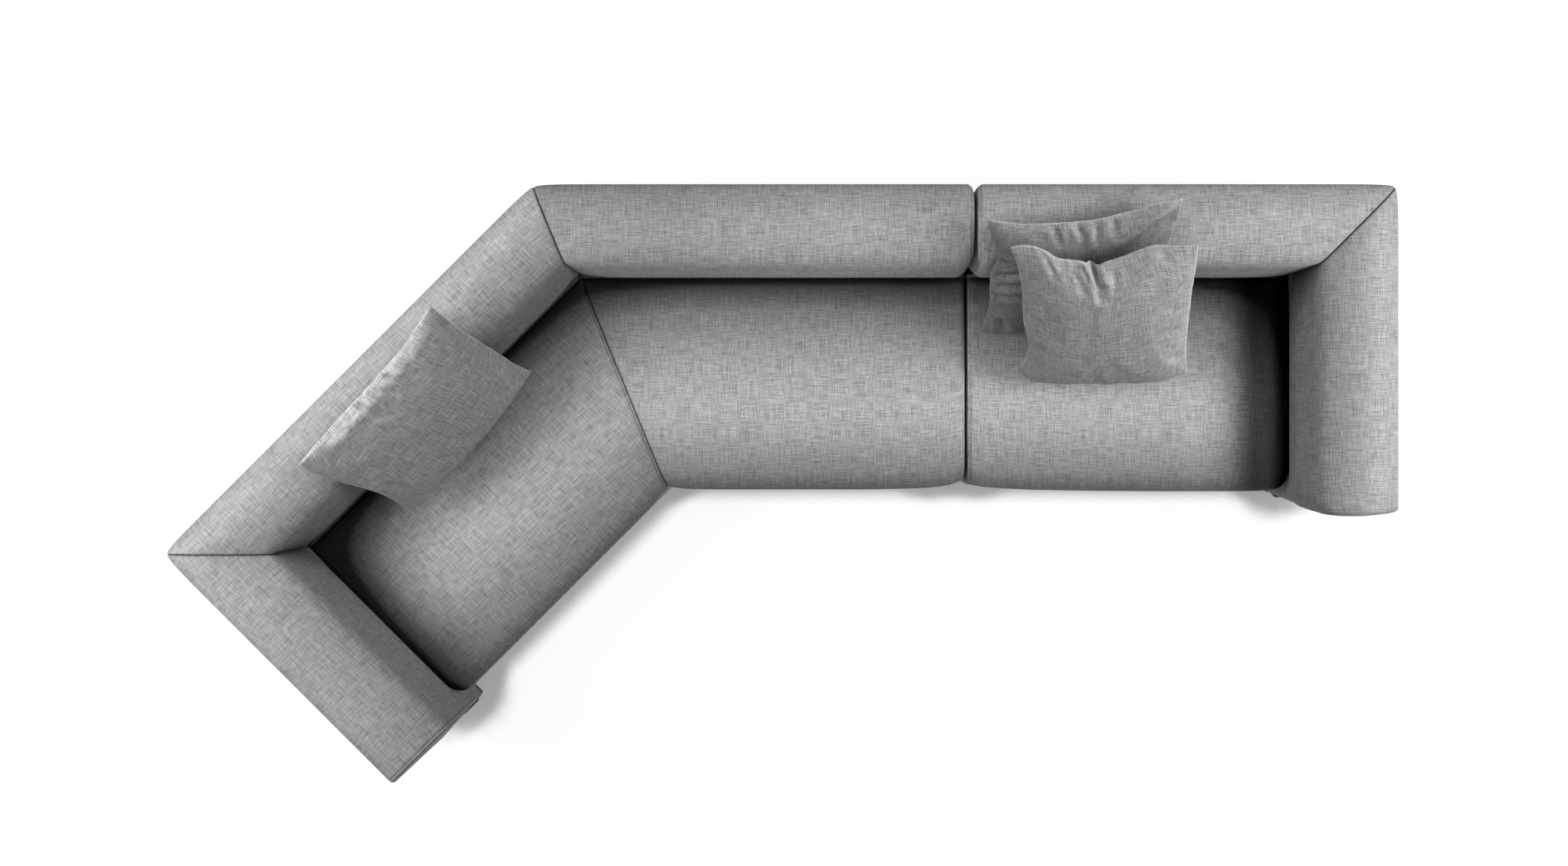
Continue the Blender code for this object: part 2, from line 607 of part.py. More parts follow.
gap_u = MIDDLE.length - LEG_GAP_INSET
front_v = SEAT_DEPTH - LEG_FRONT_INSET
leg("leg_left_arm_front", LEFT_MODULE, LEFT_ARM, LEG_ARM_SETBACK, LEG_INSET)
leg("leg_left_corner", LEFT_MODULE, WING, LEG_INSET, LEG_INSET)
leg("leg_bend_rear", LEFT_MODULE, BEND, LEG_INSET / bend_cos, 0)
leg("leg_bend_front", LEFT_MODULE, BEND, front_v / bend_cos, 0)
leg("leg_left_gap_rear", LEFT_MODULE, MIDDLE, gap_u, LEG_INSET)
leg("leg_left_gap_front", LEFT_MODULE, MIDDLE, gap_u, front_v)
leg("leg_right_gap_rear", RIGHT_MODULE, RIGHT, LEG_GAP_INSET, LEG_INSET)
leg("leg_right_gap_front", RIGHT_MODULE, RIGHT, LEG_GAP_INSET, front_v)
leg("leg_right_corner", RIGHT_MODULE, RIGHT, RIGHT.length - LEG_INSET, LEG_INSET)
leg("leg_right_arm_front", RIGHT_MODULE, RIGHT_ARM, RIGHT_ARM.length - LEG_ARM_SETBACK, LEG_INSET)

# Module connectors: a folded jaw under the left module takes a joggled tongue under the right one

def jaw(name, v):
    h, t, d, f = JAW_WIDTH / 2, STRIP_STEEL, JAW_DEPTH, JAW_FLANGE
    profile = [(-h - f, 0), (-h, 0), (-h, -d + t), (h, -d + t), (h, 0), (h + f, 0),
               (h + f, -t), (h + t, -t), (h + t, -d), (-h - t, -d), (-h - t, -t), (-h - f, -t)]
    end = MIDDLE.length - JAW_INSET
    rings = [[MIDDLE.point(u, v + a, LEG_HEIGHT + z) for a, z in profile] for u in (end - JAW_LENGTH, end)]
    mesh = bmesh.new()
    join_rings(mesh, rings)
    close(mesh)
    add_object(name, mesh, CONNECTOR_STEEL, LEFT_MODULE, smooth=False)


def tongue(name, v):
    # Rings along the strip, from the screwed end to the tapered nose.
    top = LEG_HEIGHT
    mount_end = JAW_INSET + TONGUE_MOUNT
    inside = MODULE_GAP + JAW_INSET
    steps = ((mount_end, 0, 1), (JAW_INSET, 0, 1), (0, TONGUE_DROP, 1),
             (-inside - TONGUE_REACH + TONGUE_LEAD, TONGUE_DROP, 1), (-inside - TONGUE_REACH, TONGUE_DROP, 0.7))
    rings = []
    for u, drop, share in steps:
        h = TONGUE_WIDTH / 2 * share
        high = top - drop
        rings.append([RIGHT.point(u, v - h, high), RIGHT.point(u, v + h, high),
                      RIGHT.point(u, v + h, high - STRIP_STEEL), RIGHT.point(u, v - h, high - STRIP_STEEL)])
    mesh = bmesh.new()
    join_rings(mesh, rings)
    close(mesh)
    add_object(name, mesh, CONNECTOR_STEEL, RIGHT_MODULE, smooth=False)


for place, side in ((LEG_INSET + CONNECTOR_FROM_LEG, "rear"), (front_v - CONNECTOR_FROM_LEG, "front")):
    jaw("connector_jaw_" + side, place)
    tongue("connector_tongue_" + side, place)

# Scatter cushions

def curve_point(low, bend, high, share):
    return low * (1 - share) ** 2 + bend * (2 * share * (1 - share)) + high * share ** 2


def scatter_cushion(name, parent, run, corners, bend, half_thickness):
    # corners: foot and head at the low-u side, foot and head at the high-u side, each as (u, v, z).
    # bend: how far the fold over the back pushes the middle of each side, as (v, z).
    low_foot, low_head, high_foot, high_head = (Vector(corner) for corner in corners)
    push = Vector((0, bend[0], bend[1]))

    def side(foot, head, share):
        return curve_point(foot, (foot + head) / 2 + push, head, share)

    def middle_point(a, b):
        wide = a * (1 - SIDE_DRAW * (1 - b ** 2))
        tall = b * (1 - SIDE_DRAW * (1 - a ** 2))
        share = (tall + 1) / 2
        low = side(low_foot, low_head, share)
        high = side(high_foot, high_head, share)
        return low.lerp(high, (wide + 1) / 2)

    def half_at(a, b):
        fill = max(0.0, (1 - abs(a) ** 2.6) * (1 - abs(b) ** 2.6))
        return EDGE_HALF_THICKNESS + (half_thickness - EDGE_HALF_THICKNESS) * fill ** 0.62

    def skin_point(i, j, way):
        a = math.sin(math.pi / 2 * (2 * i / CUSHION_COLUMNS - 1))
        b = math.sin(math.pi / 2 * (2 * j / CUSHION_ROWS - 1))
        centre = middle_point(a, b)
        step = 0.01
        across = middle_point(a + step, b) - middle_point(a - step, b)
        up = middle_point(a, b + step) - middle_point(a, b - step)
        normal = across.cross(up).normalized()
        at = centre + normal * half_at(a, b) * way
        return run.point(at.x, at.y, at.z)

    mesh = bmesh.new()
    sides = []
    for way in (-1, 1):
        grid = [[mesh.verts.new(skin_point(i, j, way)) for j in range(CUSHION_ROWS + 1)]
                for i in range(CUSHION_COLUMNS + 1)]
        for i in range(CUSHION_COLUMNS):
            for j in range(CUSHION_ROWS):
                mesh.faces.new((grid[i][j], grid[i + 1][j], grid[i + 1][j + 1], grid[i][j + 1]))
        sides.append(grid)
    rims = []
    for grid in sides:
        rim = [grid[i][0] for i in range(CUSHION_COLUMNS)]
        rim += [grid[-1][j] for j in range(CUSHION_ROWS)]
        rim += [grid[i][-1] for i in range(CUSHION_COLUMNS, 0, -1)]
        rim += [grid[0][j] for j in range(CUSHION_ROWS, 0, -1)]
        rims.append(rim)
    count = len(rims[0])
    for k in range(count):
        n = (k + 1) % count
        mesh.faces.new((rims[0][k], rims[0][n], rims[1][n], rims[1][k]))
    close(mesh)
    return add_object(name, mesh, CUSHION_WEAVE, parent)


def evaluated_shape(item):
    shape = item.evaluated_get(bpy.context.evaluated_depsgraph_get()).to_mesh()
    shape.calc_loop_triangles()
    points = [vertex.co.copy() for vertex in shape.vertices]
    faces = [tuple(face.vertices) for face in shape.loop_triangles]
    item.evaluated_get(bpy.context.evaluated_depsgraph_get()).to_mesh_clear()
    return points, faces


def settle(cushion, supports):
    # Sets a cushion down on what carries it: first by the drop under its corners, then clear of every edge.
    bpy.context.view_layer.update()
    points, faces = evaluated_shape(cushion)
    trees = [BVHTree.FromPolygons(*evaluated_shape(item)) for item in supports]
    high = Vector((0, 0, 2))
    room = 1.0
    for tree in trees:
        for point in points:
            hit = tree.ray_cast(point + high, -high)[0]
            if hit:
                room = min(room, point.z - hit.z)
    lift = SEAT_GAP - room
    step = Vector((0, 0, SEAT_GAP))
    moved = [point + Vector((0, 0, lift)) for point in points]
    while any(BVHTree.FromPolygons([point - step for point in moved], faces).overlap(tree) for tree in trees):
        moved = [point + step for point in moved]
    for vertex, point in zip(cushion.data.vertices, moved):
        vertex.co = point
    cushion.data.update()


# Each cushion leans on the back: its foot stands on the seat, its head folds over the back's top.

def seat_place(u, out, rise=0.0):
    # A foot corner, this far out from the back's face
    return (u, BACK_THICKNESS + out, SEAT_HEIGHT + FOOT_RISE + rise)


def head_place(u, over, rise=0.0):
    # A head corner, this far over the back's top
    return (u, BACK_THICKNESS - over, BACK_HEIGHT + HEAD_RISE + rise)


WING_CUSHION = add_empty("wing_cushion_lift", LEFT_MODULE)
REAR_CUSHION = add_empty("rear_cushion_lift", RIGHT_MODULE)
FRONT_CUSHION = add_empty("front_cushion_lift", REAR_CUSHION)

wing_u = WING_LENGTH - WING_CUSHION_REACH
wing_high = wing_u + CUSHION_WIDTH
wing_cushion = scatter_cushion(
    "wing_scatter_cushion", WING_CUSHION, WING,
    (seat_place(wing_u, WING_FOOT_OUT), head_place(wing_u - WING_CUSHION_TILT, WING_HEAD_OVER),
     seat_place(wing_high, WING_FOOT_OUT - WING_CUSHION_TURN),
     head_place(wing_high - WING_CUSHION_TILT, WING_HEAD_OVER + WING_CUSHION_TURN, WING_HEAD_LIFT)),
    WING_CUSHION_BEND, CUSHION_HALF_THICKNESS)
rear_high = REAR_CUSHION_START + CUSHION_WIDTH
rear_cushion = scatter_cushion(
    "rear_scatter_cushion", REAR_CUSHION, RIGHT,
    (seat_place(REAR_CUSHION_START + REAR_CUSHION_TILT / 2, REAR_FOOT_OUT),
     head_place(REAR_CUSHION_START, REAR_HEAD_OVER),
     seat_place(rear_high, REAR_FOOT_OUT - REAR_CUSHION_TURN / 3),
     head_place(rear_high - REAR_CUSHION_TILT, REAR_HEAD_OVER + REAR_CUSHION_TURN, REAR_HEAD_LIFT)),
    REAR_CUSHION_BEND, REAR_CUSHION_HALF_THICKNESS)
front_low = REAR_CUSHION_START + FRONT_CUSHION_STEP
front_high = front_low + FRONT_CUSHION_WIDTH
front_cushion = scatter_cushion(
    "front_scatter_cushion", FRONT_CUSHION, RIGHT,
    (seat_place(front_low, FRONT_FOOT_OUT, FRONT_FOOT_LIFT),
     head_place(front_low - FRONT_CUSHION_TILT, FRONT_HEAD_OVER, FRONT_HEAD_LIFT),
     seat_place(front_high, FRONT_FOOT_OUT, FRONT_FOOT_LIFT),
     head_place(front_high - FRONT_CUSHION_TILT, FRONT_HEAD_OVER, FRONT_HEAD_LIFT)),
    FRONT_CUSHION_BEND, CUSHION_HALF_THICKNESS)
wing_back = bpy.data.objects["wing_back_upholstery"]
right_back = bpy.data.objects["right_back_upholstery"]
settle(wing_cushion, (WING_PAD, wing_back))
settle(rear_cushion, (RIGHT_PAD, right_back))
settle(front_cushion, (RIGHT_PAD, rear_cushion))

# The origin goes to the floor under the middle of the plan.
bpy.context.view_layer.update()
corners = [item.matrix_world @ Vector(corner) for item in bpy.data.objects
           if item.type == "MESH" and not item.hide_render for corner in item.bound_box]
SOFA.location.x = -(min(c.x for c in corners) + max(c.x for c in corners)) / 2
SOFA.location.y = -(min(c.y for c in corners) + max(c.y for c in corners)) / 2
bpy.context.view_layer.update()
print("bend corner in the row frame", tuple(round(value, 5) for value in SOFA.location))
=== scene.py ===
# Sectional sofa seen from straight above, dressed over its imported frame. Metres, +Z up.
import json
import math

import bmesh
import bpy
import numpy as np
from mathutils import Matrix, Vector
from mathutils.bvhtree import BVHTree

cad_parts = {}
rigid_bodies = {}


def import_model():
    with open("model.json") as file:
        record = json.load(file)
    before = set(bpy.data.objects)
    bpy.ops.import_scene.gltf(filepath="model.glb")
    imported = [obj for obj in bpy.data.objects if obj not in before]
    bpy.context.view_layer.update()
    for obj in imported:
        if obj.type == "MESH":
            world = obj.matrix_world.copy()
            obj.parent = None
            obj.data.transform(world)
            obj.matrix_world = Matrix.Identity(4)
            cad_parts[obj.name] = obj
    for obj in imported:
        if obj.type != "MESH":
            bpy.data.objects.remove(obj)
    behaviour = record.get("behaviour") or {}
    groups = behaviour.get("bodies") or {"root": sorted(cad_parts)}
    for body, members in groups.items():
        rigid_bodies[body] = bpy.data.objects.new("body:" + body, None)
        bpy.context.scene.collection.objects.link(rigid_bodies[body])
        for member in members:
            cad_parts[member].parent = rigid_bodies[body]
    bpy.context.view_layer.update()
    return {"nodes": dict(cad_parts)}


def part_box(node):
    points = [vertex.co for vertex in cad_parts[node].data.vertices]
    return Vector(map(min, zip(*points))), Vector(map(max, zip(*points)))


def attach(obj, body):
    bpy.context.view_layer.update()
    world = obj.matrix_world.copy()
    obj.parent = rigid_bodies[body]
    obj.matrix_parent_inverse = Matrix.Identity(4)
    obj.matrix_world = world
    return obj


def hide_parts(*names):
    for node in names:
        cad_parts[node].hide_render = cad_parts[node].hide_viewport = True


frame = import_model()
print("frame loaded:", len(frame["nodes"]), "nodes")

# The plan: runs of back and arm, u along the outer face, v in towards the seat
plan = {
    "wingLength": 1.639,
    "middleLength": 1.393,
    "rightLength": 1.3255,
    "moduleGap": 0.010,
    "bendAngle": math.radians(45),
    "armLength": 1.028,
    "seamGap": 0.0003,  # between pieces that are sewn against each other
}


def makeRun(start, heading, length, slopes):
    # slopes: how far the mitre at each end moves along the run for a metre across it
    along = headingVector(heading)
    return {"start": Vector(start), "along": along, "inward": Vector((along.y, -along.x)), "length": length,
            "slopes": slopes}


def runPoint(run, u, v, z):
    flat = run["start"] + run["along"] * u + run["inward"] * v
    return Vector((flat.x, flat.y, z))


def headingVector(angle):
    return Vector((math.cos(angle), math.sin(angle)))


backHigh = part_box("middle_back_upholstery")[1]
bendCorner = Vector((backHigh[0] - plan["middleLength"] + plan["seamGap"], backHigh[1]))
wingWay = headingVector(plan["bendAngle"])
leftCorner = bendCorner - wingWay * plan["wingLength"]
armHeading = plan["bendAngle"] + math.radians(90)
rightStart = bendCorner + Vector((plan["middleLength"] + plan["moduleGap"], 0))
rightCorner = rightStart + Vector((plan["rightLength"], 0))
cornerSlope = 1.0
bendSlope = math.tan(plan["bendAngle"] / 2)
runs = {
    "wing": makeRun(leftCorner, plan["bendAngle"], plan["wingLength"], (cornerSlope, bendSlope)),
    "middle": makeRun(bendCorner, 0, plan["middleLength"], (bendSlope, 0)),
    "leftArm": makeRun(leftCorner - headingVector(armHeading) * plan["armLength"], armHeading, plan["armLength"],
                       (0, cornerSlope)),
    "right": makeRun(rightStart, 0, plan["rightLength"], (0, cornerSlope)),
    "rightArm": makeRun(rightCorner, math.radians(-90), plan["armLength"], (cornerSlope, 0)),
}
# The covers' outer faces stand out from the plan by their wadding: metres, measured from the photograph
coverReach = {"wing": 0.0005, "middle": 0.0040, "right": 0.0040, "leftArm": 0.0064, "rightArm": 0.0037}


def reachedRuns():
    # The same runs with every outer line moved out; neighbours meet where their new lines cross
    def line(key):
        run = runs[key]
        return run["start"] - run["inward"] * coverReach[key], run["along"]

    def meet(one, other):
        (p, a), (q, b) = line(one), line(other)
        gap = q - p
        share = (gap.x * b.y - gap.y * b.x) / (a.x * b.y - a.y * b.x)
        return p + a * share

    def far(key):
        start, along = line(key)
        return start + along * runs[key]["length"]
    left, bend, corner = meet("leftArm", "wing"), meet("wing", "middle"), meet("right", "rightArm")
    ends = {"leftArm": (line("leftArm")[0], left), "wing": (left, bend), "middle": (bend, far("middle")),
            "right": (line("right")[0], corner), "rightArm": (corner, far("rightArm"))}
    return {key: dict(runs[key], start=start, length=(stop - start).length) for key, (start, stop) in ends.items()}


coverRuns = reachedRuns()


# Materials

def toLinear(hexColour):
    parts = [int(hexColour[i:i + 2], 16) / 255 for i in (1, 3, 5)]
    return [p / 12.92 if p <= 0.04045 else ((p + 0.055) / 1.055) ** 2.4 for p in parts] + [1.0]


def addNode(tree, kind, settings=None, links=None, feeds=None):
    # One node with its properties and input values, the sockets that feed it and the sockets that it feeds
    node = tree.nodes.new(kind)
    for key, value in (settings or {}).items():
        if isinstance(key, str) and hasattr(node, key):
            setattr(node, key, value)
        else:
            node.inputs[key].default_value = value
    for key, socket in (links or {}).items():
        tree.links.new(socket, node.inputs[key])
    for key, socket in (feeds or {}).items():
        tree.links.new(node.outputs[key], socket)
    return node


def newMaterial(name, roughness, metallic=0.0):
    made = bpy.data.materials.new(name)
    made.use_nodes = True
    shader = made.node_tree.nodes["Principled BSDF"]
    shader.inputs["Roughness"].default_value = roughness
    shader.inputs["Metallic"].default_value = metallic
    return made, made.node_tree, shader.inputs


def stretchedNoise(tree, coords, sizes, seed, detail=0.0):
    # Noise whose grain measures sizes in millimetres along the two threads
    mapping = addNode(tree, "ShaderNodeMapping",
                      {"Scale": (1000 / sizes[0], 1000 / sizes[1], 1.0), "Location": (seed, seed * 1.7, 0)},
                      {"Vector": coords})
    made = addNode(tree, "ShaderNodeTexNoise",
                   {"noise_dimensions": "2D", "Scale": 1.0, "Detail": detail, "Roughness": 0.55},
                   {"Vector": mapping.outputs[0]})
    return made.outputs["Fac"]


def sumOf(tree, terms):
    # 0.5 + the sum of each (socket, weight), counted from the middle of the noise
    middle = 0.5 - 0.5 * sum(weight for socket, weight in terms)
    total = None
    for socket, weight in terms:
        node = addNode(tree, "ShaderNodeMath", {"operation": "MULTIPLY_ADD", 1: weight, 2: middle}, {0: socket})
        if total is not None:
            tree.links.new(total, node.inputs[2])
        total = node.outputs[0]
    return total


weave = {
    "threadPitch": 1.9,  # mm; the linen has about 12 threads to the centimetre, drawn coarser so that it shows
    # sizes in mm; edges: where each yarn's soft edge starts and ends; weight: its share in the tone
    "slub": {"long": 75.0, "wide": 1.9, "seed": 3.1, "edges": (0.36, 0.64), "weight": 0.44},  # thick places
    "short": {"long": 30.0, "wide": 1.5, "seed": 11.3, "edges": (0.34, 0.66), "weight": 0.36},  # single threads
    "streak": {"long": 220.0, "wide": 4.0, "seed": 17.9, "edges": (0.25, 0.75), "weight": 0.12},  # paler yarn
    "speckle": {"size": 2.0, "seed": 23.0, "detail": 1.0, "weight": 1.5},
    "cloud": {"size": 190.0, "seed": 29.0, "detail": 3.0, "weight": 0.15},  # soft unevenness of the cloth
    "crossSeed": 4.6,  # added to a yarn's seed for the thread that crosses
    "yarnRelief": 0.4,
    "basketRelief": 0.25,
    "bump": 0.4,
    "bumpDepth": 0.0008,
    "roughness": 0.92,
    "shine": (0.1, 0.5),  # the painted shade tones between which the cloth gets its shine: the painted shade also takes the shine away down in the seams
}


def weaveMaterial(name, darkHex, lightHex, contrast, fine=1.0):
    # Melange linen in plain weave: matt, light and dark yarns crossing, slubs both ways; fine below 1 for thin yarn
    made, tree, shader = newMaterial(name, weave["roughness"])
    coords = addNode(tree, "ShaderNodeUVMap", {"uv_map": "weave"}).outputs[0]

    def crossed(yarn):
        # One yarn's pattern along the length and across it
        long, wide = yarn["long"] * fine, yarn["wide"] * fine
        low, high = yarn["edges"]
        both = []
        for sizes, seed in (((long, wide), yarn["seed"]), ((wide, long), yarn["seed"] + weave["crossSeed"])):
            soft = stretchedNoise(tree, coords, sizes, seed)
            both.append(addNode(tree, "ShaderNodeMapRange", {"interpolation_type": "SMOOTHSTEP", 1: low, 2: high},
                                {0: soft}).outputs[0])
        return both
    fields = {key: crossed(weave[key]) for key in ("slub", "short", "streak")}
    for key in ("speckle", "cloud"):
        spot = weave[key]
        fields[key] = [stretchedNoise(tree, coords, (spot["size"],) * 2, spot["seed"], spot["detail"])]
    tone = sumOf(tree, [(socket, weave[key]["weight"] * contrast) for key, field in fields.items()
                        for socket in field])
    mix = addNode(tree, "ShaderNodeMix", {"data_type": "RGBA", "clamp_factor": True, 6: toLinear(darkHex),
                                          7: toLinear(lightHex)}, {0: tone})
    # painted shade and light: the attribute's tone multiplies the cloth's colour and sets its shine
    shade = addNode(tree, "ShaderNodeAttribute", {"attribute_name": "paintedShade"}).outputs["Fac"]
    addNode(tree, "ShaderNodeMix", {"data_type": "RGBA", "blend_type": "MULTIPLY", 0: 1.0},
            {6: mix.outputs[2], 7: shade}, {2: shader["Base Color"]})
    addNode(tree, "ShaderNodeMapRange", {"From Max": weave["shine"][0], "To Max": weave["shine"][1]},
            {"Value": shade}, {0: shader["Specular IOR Level"]})
    turns = math.pi * 1000 / weave["threadPitch"]
    threads = addNode(tree, "ShaderNodeMapping", {"Scale": (turns, turns, 1.0)}, {"Vector": coords})
    split = addNode(tree, "ShaderNodeSeparateXYZ", links={0: threads.outputs[0]})
    rows = [addNode(tree, "ShaderNodeMath", {"operation": "SINE"}, {0: split.outputs[axis]}) for axis in (0, 1)]
    basket = addNode(tree, "ShaderNodeMath", {"operation": "MULTIPLY"},
                     {0: rows[0].outputs[0], 1: rows[1].outputs[0]})
    raised = [(socket, weave["yarnRelief"]) for socket in fields["slub"] + fields["short"] + fields["speckle"]]
    height = sumOf(tree, raised + [(basket.outputs[0], weave["basketRelief"])])
    addNode(tree, "ShaderNodeBump", {"Strength": weave["bump"], "Distance": weave["bumpDepth"]}, {"Height": height},
            {0: shader["Normal"]})
    return made


greyLinen = weaveMaterial("wovenGreyMelangeLinen", "#6f6f6f", "#d4d4d4", 0.58)
cushionLinen = weaveMaterial("wovenFineCushionLinen", "#666666", "#c8c8c8", 0.68, 0.85)


def threadMaterial():
    # Bonded polyester sewing thread: twisted, a little darker than the cloth, with a soft gloss
    made, tree, shader = newMaterial("twistedPolyesterThread", 0.55)
    coords = addNode(tree, "ShaderNodeTexCoord").outputs["Object"]
    twist = addNode(tree, "ShaderNodeTexNoise", {"Scale": 900.0, "Detail": 2.0}, {"Vector": coords})  # 1 mm plies
    addNode(tree, "ShaderNodeMix", {"data_type": "RGBA", 6: toLinear("#555555"), 7: toLinear("#8c8c8c")},
            {0: twist.outputs["Fac"]}, {2: shader["Base Color"]})
    return made


def grainMaterial(name, darkHex, lightHex, grain, roughness):
    # Planed beech or sanded birch plywood: matt, with a fine grain upright; grain: mm across and along it
    made, tree, shader = newMaterial(name, roughness)
    coords = addNode(tree, "ShaderNodeTexCoord").outputs["Object"]
    mapping = addNode(tree, "ShaderNodeMapping", {"Scale": (1000 / grain[0], 1000 / grain[0], 1000 / grain[1])},
                      {"Vector": coords})
    lines = addNode(tree, "ShaderNodeTexNoise", {"Scale": 1.0, "Detail": 5.0, "Roughness": 0.6, "Distortion": 0.6},
                    {"Vector": mapping.outputs[0]}).outputs["Fac"]
    flecks = addNode(tree, "ShaderNodeTexNoise", {"Scale": 320.0, "Detail": 2.0}, {"Vector": coords})  # 3 mm rays
    tone = sumOf(tree, ((lines, 1.3), (flecks.outputs["Fac"], 0.5)))
    addNode(tree, "ShaderNodeMix", {"data_type": "RGBA", "clamp_factor": True, 6: toLinear(darkHex),
                                    7: toLinear(lightHex)}, {0: tone}, {2: shader["Base Color"]})
    addNode(tree, "ShaderNodeBump", {"Strength": 0.25, "Distance": 0.0006}, {"Height": lines}, {0: shader["Normal"]})
    return made


def metalMaterial(name, darkHex, lightHex, roughness, metallic, grit, bump):
    # Coated or plated steel: an even tone with faint mottling at the size of its grit, in mm
    made, tree, shader = newMaterial(name, roughness, metallic)
    coords = addNode(tree, "ShaderNodeTexCoord").outputs["Object"]
    mottle = addNode(tree, "ShaderNodeTexNoise", {"Scale": 1000 / grit, "Detail": 3.0},
                     {"Vector": coords}).outputs["Fac"]
    addNode(tree, "ShaderNodeMix", {"data_type": "RGBA", 6: toLinear(darkHex), 7: toLinear(lightHex)}, {0: mottle},
            {2: shader["Base Color"]})
    addNode(tree, "ShaderNodeMapRange", {"To Min": roughness - 0.08, "To Max": roughness + 0.08}, {"Value": mottle},
            {0: shader["Roughness"]})
    addNode(tree, "ShaderNodeBump", {"Strength": bump, "Distance": 0.0003}, {"Height": mottle}, {0: shader["Normal"]})
    return made


def dustMaterial():
    # Spun-bonded polypropylene: black, matt, pressed in small dots with stray fibres
    made, tree, shader = newMaterial("spunBondedDustCloth", 0.9)
    coords = addNode(tree, "ShaderNodeTexCoord").outputs["Object"]
    fibres = addNode(tree, "ShaderNodeTexNoise", {"Scale": 260.0, "Detail": 4.0, "Distortion": 1.5},
                     {"Vector": coords})  # 4 mm clumps
    dots = addNode(tree, "ShaderNodeTexVoronoi", {"Scale": 330.0}, {"Vector": coords})  # 3 mm bond points
    addNode(tree, "ShaderNodeMix", {"data_type": "RGBA", 6: toLinear("#141414"), 7: toLinear("#3a3a3a")},
            {0: fibres.outputs["Fac"]}, {2: shader["Base Color"]})
    addNode(tree, "ShaderNodeBump", {"Strength": 0.4, "Distance": 0.0005}, {"Height": dots.outputs["Distance"]},
            {0: shader["Normal"]})
    return made


thread = threadMaterial()
beech = grainMaterial("planedBeech", "#9c7a55", "#cdaa80", (9.0, 70.0), 0.6)
plywood = grainMaterial("sandedBirchPlywood", "#b4956a", "#dcc197", (14.0, 60.0), 0.65)
springWire = metalMaterial("oilTemperedSpringWire", "#3c3c40", "#5a5a5e", 0.35, 1.0, 4.0, 0.2)
zincSteel = metalMaterial("zincPlatedSteel", "#9ea2a8", "#c3c6ca", 0.32, 1.0, 6.0, 0.15)
powderCoat = metalMaterial("blackPowderCoatedSteel", "#0d0d0e", "#1c1c1e", 0.48, 0.0, 0.8, 0.35)
dustCloth = dustMaterial()
cadFinishes = (("leg_", powderCoat), ("connector_", zincSteel), ("springs", springWire), ("dust_cover", dustCloth),
               ("board", plywood), ("rail", beech), ("stretcher", beech))
for name, node in frame["nodes"].items():
    for word, finish in cadFinishes:
        if word in name:
            for place in node.material_slots:
                place.material = finish
            break
print("materials made:", len(bpy.data.materials))


# Dense lofts: rings of (v, z) along a run become a closed mesh with its weave laid out in metres

loft = {
    "spacing": 0.014,  # between the stations of a run
    "endZone": 0.17,  # at both ends they stand closer: these distances from a seam, or from a free end's panel
    "fromSeam": (0.0, 0.0012, 0.0025, 0.004, 0.006, 0.009, 0.0095, 0.011, 0.014, 0.020, 0.028, 0.038, 0.050, 0.065,
                 0.082, 0.100, 0.122, 0.145, 0.170),
    "fromPanel": (0.002, 0.003, 0.004, 0.005, 0.006, 0.008, 0.0095, 0.011, 0.013, 0.014, 0.015, 0.016, 0.017, 0.021,
                  0.030, 0.040, 0.052, 0.070, 0.090, 0.115, 0.142, 0.170),
    "roundSteps": 9,
    "seamBlend": 0.035,
    "stitchLine": 0.0095,  # the top stitching's distance from the seam
    "domeShares": (0.02, 0.05, 0.1, 0.17, 0.26, 0.37, 0.5, 0.64, 0.8, 0.93),
    "domeRound": 2.4,
}


def mixValue(a, b, share):
    return a + (b - a) * share


def blendIn(distance, reach=loft["seamBlend"]):
    return 1 - math.exp(-distance / reach)


def roundInset(away, radius):
    if away >= radius:
        return 0.0
    return radius - math.sqrt(max(0.0, radius ** 2 - (radius - away) ** 2))


def roundLengths(ring):
    lengths = [0.0]
    for a, b in zip(ring, ring[1:] + ring[:1]):
        lengths.append(lengths[-1] + math.dist(a, b))
    return lengths


def paintedSeamShade(away, places):
    # Painted shade in sewn lines: the share of the colour that is left; places as (distance, share in the line, half
    # width)
    left = 1.0
    for place, share, width in places:
        left *= 1 - (1 - share) * math.exp(-((away - place) / width) ** 2)
    return left


def stationList(length, kinds, widest=0.0):
    # (end it counts from, distance from that end); the middle is shared out evenly
    def near(kind):
        if kind == "seam":
            return loft["fromSeam"]
        steps = loft["roundSteps"]
        rounding = [round(widest * (1 - math.cos(math.pi / 2 * k / steps)), 5) for k in range(steps + 1)]
        return sorted(set(rounding) | set(loft["fromPanel"]))
    middle = max(4, round((length - 2 * loft["endZone"]) / loft["spacing"]))
    starts, ends = [(0, away) for away in near(kinds[0])], [(1, away) for away in near(kinds[1])]
    return starts + [("mid", k / middle) for k in range(1, middle)] + ends[::-1]


def placeAlong(end, away, v, length, slopes, offsets):
    # Where a station lies along its run at depth v, between the mitres of both ends
    low, high = offsets[0] + v * slopes[0], length - offsets[1] - v * slopes[1]
    if end == "mid":
        return mixValue(low + loft["endZone"], high - loft["endZone"], away)
    return low + away if end == 0 else high - away


